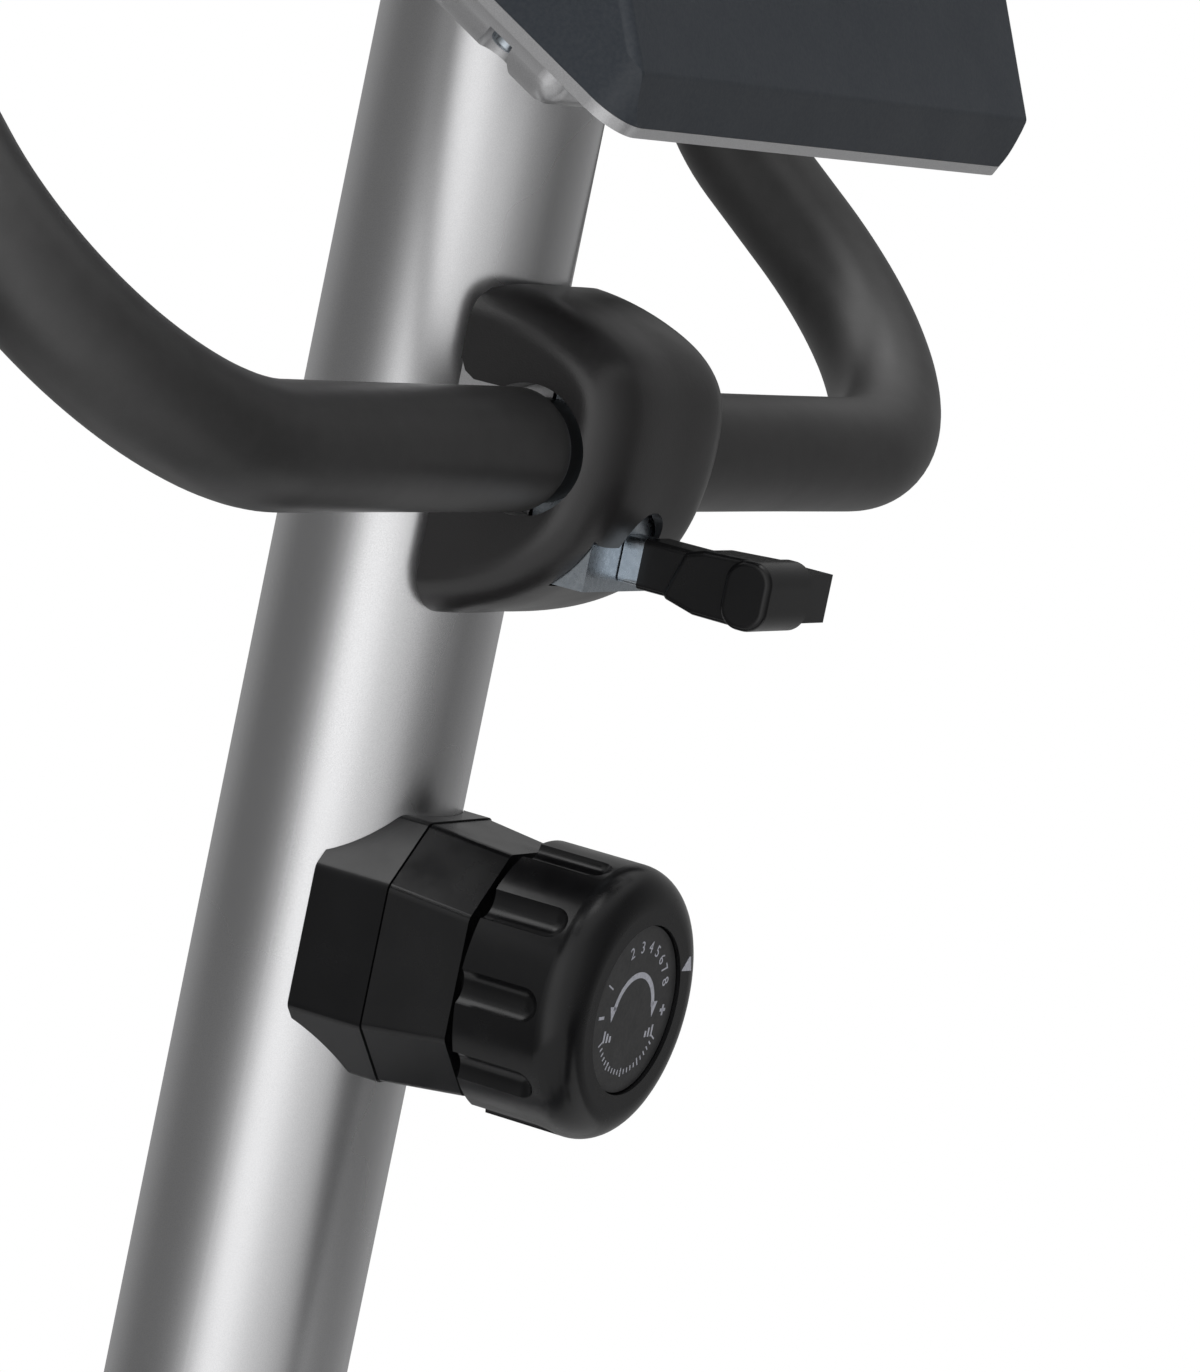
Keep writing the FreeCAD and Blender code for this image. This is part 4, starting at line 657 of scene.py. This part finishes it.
def saddle_stitches(surface, low, high):
    """Short thread stitches along both sides of the channel."""
    vertices = []
    faces = []
    length = high.x - low.x
    for side in (1, -1):
        for index in range(STITCH_COUNT):
            x = low.x + length * (0.13 + 0.55 * index / (STITCH_COUNT - 1))
            ends = []
            for offset in (-STITCH_HALF_LENGTH, STITCH_HALF_LENGTH):
                above = Vector((x + offset, side * STITCH_OFFSET, high.z + 0.02))
                hit = surface.ray_cast(above, Vector((0, 0, -1)))
                ends.append(hit[0] + hit[1] * 0.0001)
            add_stitch(vertices, faces, ends, THREAD_RADIUS)
    add_object("saddle_stitches", mesh_of("saddle_stitches", vertices, faces), "strap_rubber", "saddle")


def add_stitch(vertices, faces, ends, radius):
    """One stitch: a short thread that dips into the cover at both ends."""
    start, stop = ends
    along = (stop - start).normalized()
    side = along.cross(Vector((0, 0, 1))).normalized()
    up = side.cross(along)
    first = len(vertices)
    for reach, lift in ((-0.1, -0.5), (0.1, 0.3), (0.5, 0.6), (0.9, 0.3), (1.1, -0.5)):
        centre = start.lerp(stop, reach) + up * radius * lift
        for step in range(6):
            angle = math.pi * step / 3
            vertices.append(centre + (side * math.cos(angle) + up * math.sin(angle)) * radius)
    for ring in range(4):
        for step in range(6):
            here = first + ring * 6 + step
            beside = first + ring * 6 + (step + 1) % 6
            faces.append((here, beside, beside + 6, here + 6))


# ---- Printed marks ----

class Sheet:
    """Flat marks gathered on one plane, then made into one thin piece."""

    def __init__(self, origin, right, up):
        self.origin = origin
        self.right = right
        self.up = up
        self.normal = right.cross(up)
        self.vertices = []
        self.faces = []

    def polygon(self, points):
        """A filled outline of (right, up) places in millimetres, counterclockwise."""
        first = len(self.vertices)
        for x, y in points:
            self.vertices.append(self.origin + (self.right * x + self.up * y) / 1000)
        self.faces.append(tuple(range(first, first + len(points))))

    def bar(self, x, y, width, height, turn=0.0):
        """A rectangle about a centre, turned clockwise."""
        c, s = math.cos(turn), math.sin(turn)
        corners = [(-width / 2, -height / 2), (width / 2, -height / 2), (width / 2, height / 2),
                   (-width / 2, height / 2)]
        self.polygon([(x + a * c + b * s, y - a * s + b * c) for a, b in corners])

    def arc(self, centre, radius, start, stop, width, pieces):
        """A curved band; angles run clockwise from the top."""
        for index in range(pieces):
            ends = []
            for k in (index, index + 1):
                t = k / pieces
                angle = start + (stop - start) * t
                half = width / 2
                ends.append([(centre[0] + (radius + h) * math.sin(angle),
                              centre[1] + (radius + h) * math.cos(angle)) for h in (half, -half)])
            self.polygon([ends[0][0], ends[0][1], ends[1][1], ends[1][0]])

    def glyph(self, text, x, y, size, turn):
        """A numeral, its middle at a place, turned clockwise."""
        curve = bpy.data.curves.new("glyph", "FONT")
        curve.body = text
        curve.size = size
        curve.align_x = "CENTER"
        curve.align_y = "CENTER"
        carrier = bpy.data.objects.new("glyph", curve)
        bpy.context.scene.collection.objects.link(carrier)
        mesh = applied_mesh(carrier)
        bpy.data.objects.remove(carrier)
        first = len(self.vertices)
        c, s = math.cos(turn), math.sin(turn)
        for vertex in mesh.vertices:
            a, b = vertex.co.x, vertex.co.y
            place = (x + a * c + b * s, y - a * s + b * c)
            self.vertices.append(self.origin + (self.right * place[0] + self.up * place[1]) / 1000)
        for polygon in mesh.polygons:
            self.faces.append(tuple(first + k for k in polygon.vertices))

    def finish(self, name, slot, body):
        """The marks as one piece with a hair's thickness."""
        mesh = mesh_of(name, self.vertices, self.faces)
        piece = add_object(name, mesh, slot, body, smooth=False)
        shell = piece.modifiers.new("thickness", "SOLIDIFY")
        shell.thickness = MARK_THICKNESS
        shell.offset = 0


MARK_THICKNESS = 0.00004
NUMBER_ANGLES = [-66, -24, -5.5, 11, 26, 40, 53, 67]  # degrees clockwise from the top, for 1 to 8
NUMBER_RADIUS = 15.6
NUMBER_SIZE = 4.3


def dial_marks():
    """Scale of the resistance dial: numbers, plus and minus, a double arrow and plain ticks."""
    origin = POST_POINT + POST_OUT * (DIAL_FACE + MARK_THICKNESS) - POST_UP * TENSION_DROP
    sheet = Sheet(origin, Vector((0, -1, 0)), POST_UP)
    for number, degree in enumerate(NUMBER_ANGLES, start=1):
        angle = math.radians(degree)
        sheet.glyph(str(number), NUMBER_RADIUS * math.sin(angle), NUMBER_RADIUS * math.cos(angle),
                    NUMBER_SIZE, angle)
    sheet.arc((0, -1.6), 10.2, math.radians(-80), math.radians(80), 1.5, 30)
    for side in (-1, 1):
        tip = (side * 10.7, -2.6)
        sheet.polygon([tip, (tip[0] + 1.7, tip[1] + 3.9), (tip[0] - 1.7, tip[1] + 3.9)])
        sheet.bar(side * 16.2, -1.2, 2.8, 0.8)
        for index in range(3):
            growth = index if side > 0 else 2 - index
            sheet.bar(side * 11.0 - 1.6 + index * 1.6, -6.9 + growth * 0.35, 0.8, 1.6 + growth * 0.7)
    sheet.bar(16.2, -1.2, 0.8, 2.8)
    for index in range(21):
        angle = math.radians(120 + 6 * index)
        height = 2.2 if index % 5 == 0 else 1.3
        sheet.bar(15.9 * math.sin(angle), 15.9 * math.cos(angle), 0.45, height, angle)
    sheet.finish("dial_marks", "pointer", "frame")


def face_place(along, out):
    """A place on the display face's middle line, in millimetres up the face and out of it."""
    rim = Vector((math.cos(CONSOLE_TILT), 0, math.sin(CONSOLE_TILT)))
    rim_out = Vector((-math.sin(CONSOLE_TILT), 0, math.cos(CONSOLE_TILT)))
    chin = CHIN_ANGLE - CONSOLE_TILT
    foot = (CONSOLE_ORIGIN + rim * (CONSOLE_NOSE[0] + CHIN_LENGTH * math.cos(chin)) / 1000
            + rim_out * (CONSOLE_NOSE[1] + CHIN_LENGTH * math.sin(chin)) / 1000)
    up = Vector((math.cos(FACE_ANGLE), 0, math.sin(FACE_ANGLE)))
    normal = Vector((-math.sin(FACE_ANGLE), 0, math.cos(FACE_ANGLE)))
    return foot + up * along / 1000 + normal * out / 1000, up


def zero(sheet, x, y, height):
    """A nought made of six segments, with its lower left corner at a place."""
    width = height * 0.5
    thick = height * 0.11
    right = [(width, height * share) for share in (0.75, 0.25)]
    left = [(0, height * share) for share in (0.25, 0.75)]
    sheet.bar(x + width / 2, y + height, width * 0.82, thick)
    for px, py in right:
        sheet.bar(x + px, y + py, thick, height * 0.42)
    sheet.bar(x + width / 2, y, width * 0.82, thick)
    for px, py in left:
        sheet.bar(x + px, y + py, thick, height * 0.42)


def display_marks():
    """What the display shows: a clock, a distance and a scale of bars."""
    origin, up = face_place(DISPLAY_START, -DISPLAY_DEPTH)
    sheet = Sheet(origin, Vector((0, -1, 0)), up)
    for x in (-26, -12, 4, 16):
        zero(sheet, x, 26, 15)
    for y in (30, 36):
        sheet.bar(1.2, y, 1.6, 1.6)
    for x in (-38, -31, -24, 18, 25, 32):
        zero(sheet, x, 8, 8)
    for index in range(12):
        sheet.bar(-10 + index * 2, 9 + index * 0.3, 1.2, 2 + index * 0.6)
    sheet.bar(0, 22, 88, 0.35)
    sheet.finish("display_marks", "black_plastic", "frame")


def seat_post_marks():
    """Height ticks beside the holes of the seat post."""
    up = Vector((-math.sin(SEAT_LEAN), 0, math.cos(SEAT_LEAN)))
    front = Vector((math.cos(SEAT_LEAN), 0, math.sin(SEAT_LEAN)))
    for side in (1, -1):
        across = Vector((0, 1, 0)) * side
        outward = (front + across).normalized()
        origin = CRANK + outward * SEAT_POST_RADIUS + up * PIN_HEIGHT
        sheet = Sheet(origin, up.cross(outward), up)
        for index in range(1, 5):
            sheet.bar(0, index * HOLE_PITCH, 3.2 if index % 2 else 4.4, 0.7)
        sheet.finish("seat_post_marks_" + ("left" if side > 0 else "right"), "black_plastic", "seat")


# ---- Stage ----

# Brightness of the surroundings by heading in degrees; the camera stands at 0, its left hand at -90
BANK_STOPS = [(-180, 0.25), (-140, 0.21), (-105, 0.11), (-75, 0.11), (-60, 0.14), (-45, 0.30), (-26, 0.92),
              (-9, 0.86), (10, 0.60), (34, 0.44), (50, 0.27), (62, 0.20), (90, 0.10), (125, 0.17),
              (150, 0.24), (180, 0.25)]
SKY_LEVEL = 0.62
WORLD_STRENGTH = 1.3

FLOOR_RADIUS = 1.35


def floor():
    """Plain pale round floor."""
    angles = [math.pi * k / 48 for k in range(96)]
    rim = [(FLOOR_RADIUS * math.cos(a), FLOOR_RADIUS * math.sin(a), 0) for a in angles]
    piece = bpy.data.objects.new("floor", mesh_of("floor", rim, [tuple(range(96))]))
    bpy.context.scene.collection.objects.link(piece)
    finish = Finish("floor", roughness=0.8)
    finish.colour(finish.noise(3, 3), (0.70, 0.70, 0.70), (0.74, 0.74, 0.74))
    piece.data.materials.append(finish.material)


def studio_world():
    """White backdrop to the eye; for light, a narrow bright bank beside the camera and dim flanks."""
    world = bpy.data.worlds.new("studio")
    bpy.context.scene.world = world
    world.use_nodes = True
    nodes = world.node_tree.nodes
    links = world.node_tree.links
    nodes.clear()
    where = nodes.new("ShaderNodeTexCoord")
    turned = nodes.new("ShaderNodeVectorRotate")
    turned.rotation_type = "Z_AXIS"
    turned.inputs["Angle"].default_value = -math.atan2(-VIEW_HEADING.y, -VIEW_HEADING.x)
    parts = nodes.new("ShaderNodeSeparateXYZ")
    around = nodes.new("ShaderNodeMath")
    around.operation = "ARCTAN2"
    spread = nodes.new("ShaderNodeMapRange")
    spread.inputs["From Min"].default_value = -math.pi
    spread.inputs["From Max"].default_value = math.pi
    bank = nodes.new("ShaderNodeValToRGB")
    while len(bank.color_ramp.elements) < len(BANK_STOPS):
        bank.color_ramp.elements.new(0.5)
    for element, (degrees, level) in zip(bank.color_ramp.elements, BANK_STOPS):
        element.position = degrees / 360 + 0.5
        element.color = (level, level, level, 1)
    overhead = nodes.new("ShaderNodeMapRange")
    overhead.interpolation_type = "SMOOTHSTEP"
    overhead.inputs["From Min"].default_value = 0.45
    overhead.inputs["From Max"].default_value = 0.85
    sky = nodes.new("ShaderNodeMix")
    sky.data_type = "RGBA"
    sky.inputs["B"].default_value = (SKY_LEVEL, SKY_LEVEL, SKY_LEVEL, 1)
    light = nodes.new("ShaderNodeBackground")
    light.inputs["Strength"].default_value = WORLD_STRENGTH
    plain = nodes.new("ShaderNodeBackground")
    plain.inputs["Color"].default_value = (1, 1, 1, 1)
    path = nodes.new("ShaderNodeLightPath")
    mix = nodes.new("ShaderNodeMixShader")
    out = nodes.new("ShaderNodeOutputWorld")
    links.new(where.outputs["Generated"], turned.inputs["Vector"])
    links.new(turned.outputs["Vector"], parts.inputs["Vector"])
    links.new(parts.outputs["Y"], around.inputs[0])
    links.new(parts.outputs["X"], around.inputs[1])
    links.new(around.outputs["Value"], spread.inputs["Value"])
    links.new(spread.outputs["Result"], bank.inputs["Fac"])
    links.new(parts.outputs["Z"], overhead.inputs["Value"])
    links.new(overhead.outputs["Result"], sky.inputs["Factor"])
    links.new(bank.outputs["Color"], sky.inputs["A"])
    links.new(sky.outputs["Result"], light.inputs["Color"])
    links.new(path.outputs["Is Camera Ray"], mix.inputs["Fac"])
    links.new(light.outputs["Background"], mix.inputs[1])
    links.new(plain.outputs["Background"], mix.inputs[2])
    links.new(mix.outputs["Shader"], out.inputs["Surface"])


def softbox(name, place, aim, size, power):
    """A square soft light that looks at a point."""
    data = bpy.data.lights.new(name, "AREA")
    data.shape = "RECTANGLE"
    data.size, data.size_y = size
    data.energy = power
    light = bpy.data.objects.new(name, data)
    bpy.context.scene.collection.objects.link(light)
    light.location = place
    light.rotation_mode = "QUATERNION"
    light.rotation_quaternion = (Vector(aim) - Vector(place)).to_track_quat("-Z", "Y")


def lights():
    """A large overhead light."""
    softbox("overhead", (0.3, 0.2, 3.4), (0.1, 0, 0.8), (2.4, 2.4), 32)


def camera():
    """Camera at the height of the bar, on the rider's left and a little behind."""
    data = bpy.data.cameras.new("camera")
    data.lens = VIEW_LENS
    data.clip_start = 0.05
    piece = bpy.data.objects.new("camera", data)
    bpy.context.scene.collection.objects.link(piece)
    view_up = VIEW_RIGHT.cross(VIEW_HEADING)
    aim = BAR + VIEW_RIGHT * AIM_RIGHT - view_up * AIM_DOWN
    piece.location = aim - VIEW_HEADING * VIEW_DISTANCE
    piece.rotation_mode = "QUATERNION"
    piece.rotation_quaternion = Matrix((VIEW_RIGHT, view_up, -VIEW_HEADING)).transposed().to_quaternion()
    bpy.context.scene.camera = piece


# ---- The scene ----

camera()
dress_nodes()
foam_sleeve(1, "foam_grip_left")
foam_sleeve(-1, "foam_grip_right")
saddle_cushion()
dial_marks()
display_marks()
seat_post_marks()
floor()
studio_world()
lights()
bpy.context.scene.view_settings.view_transform = "Standard"
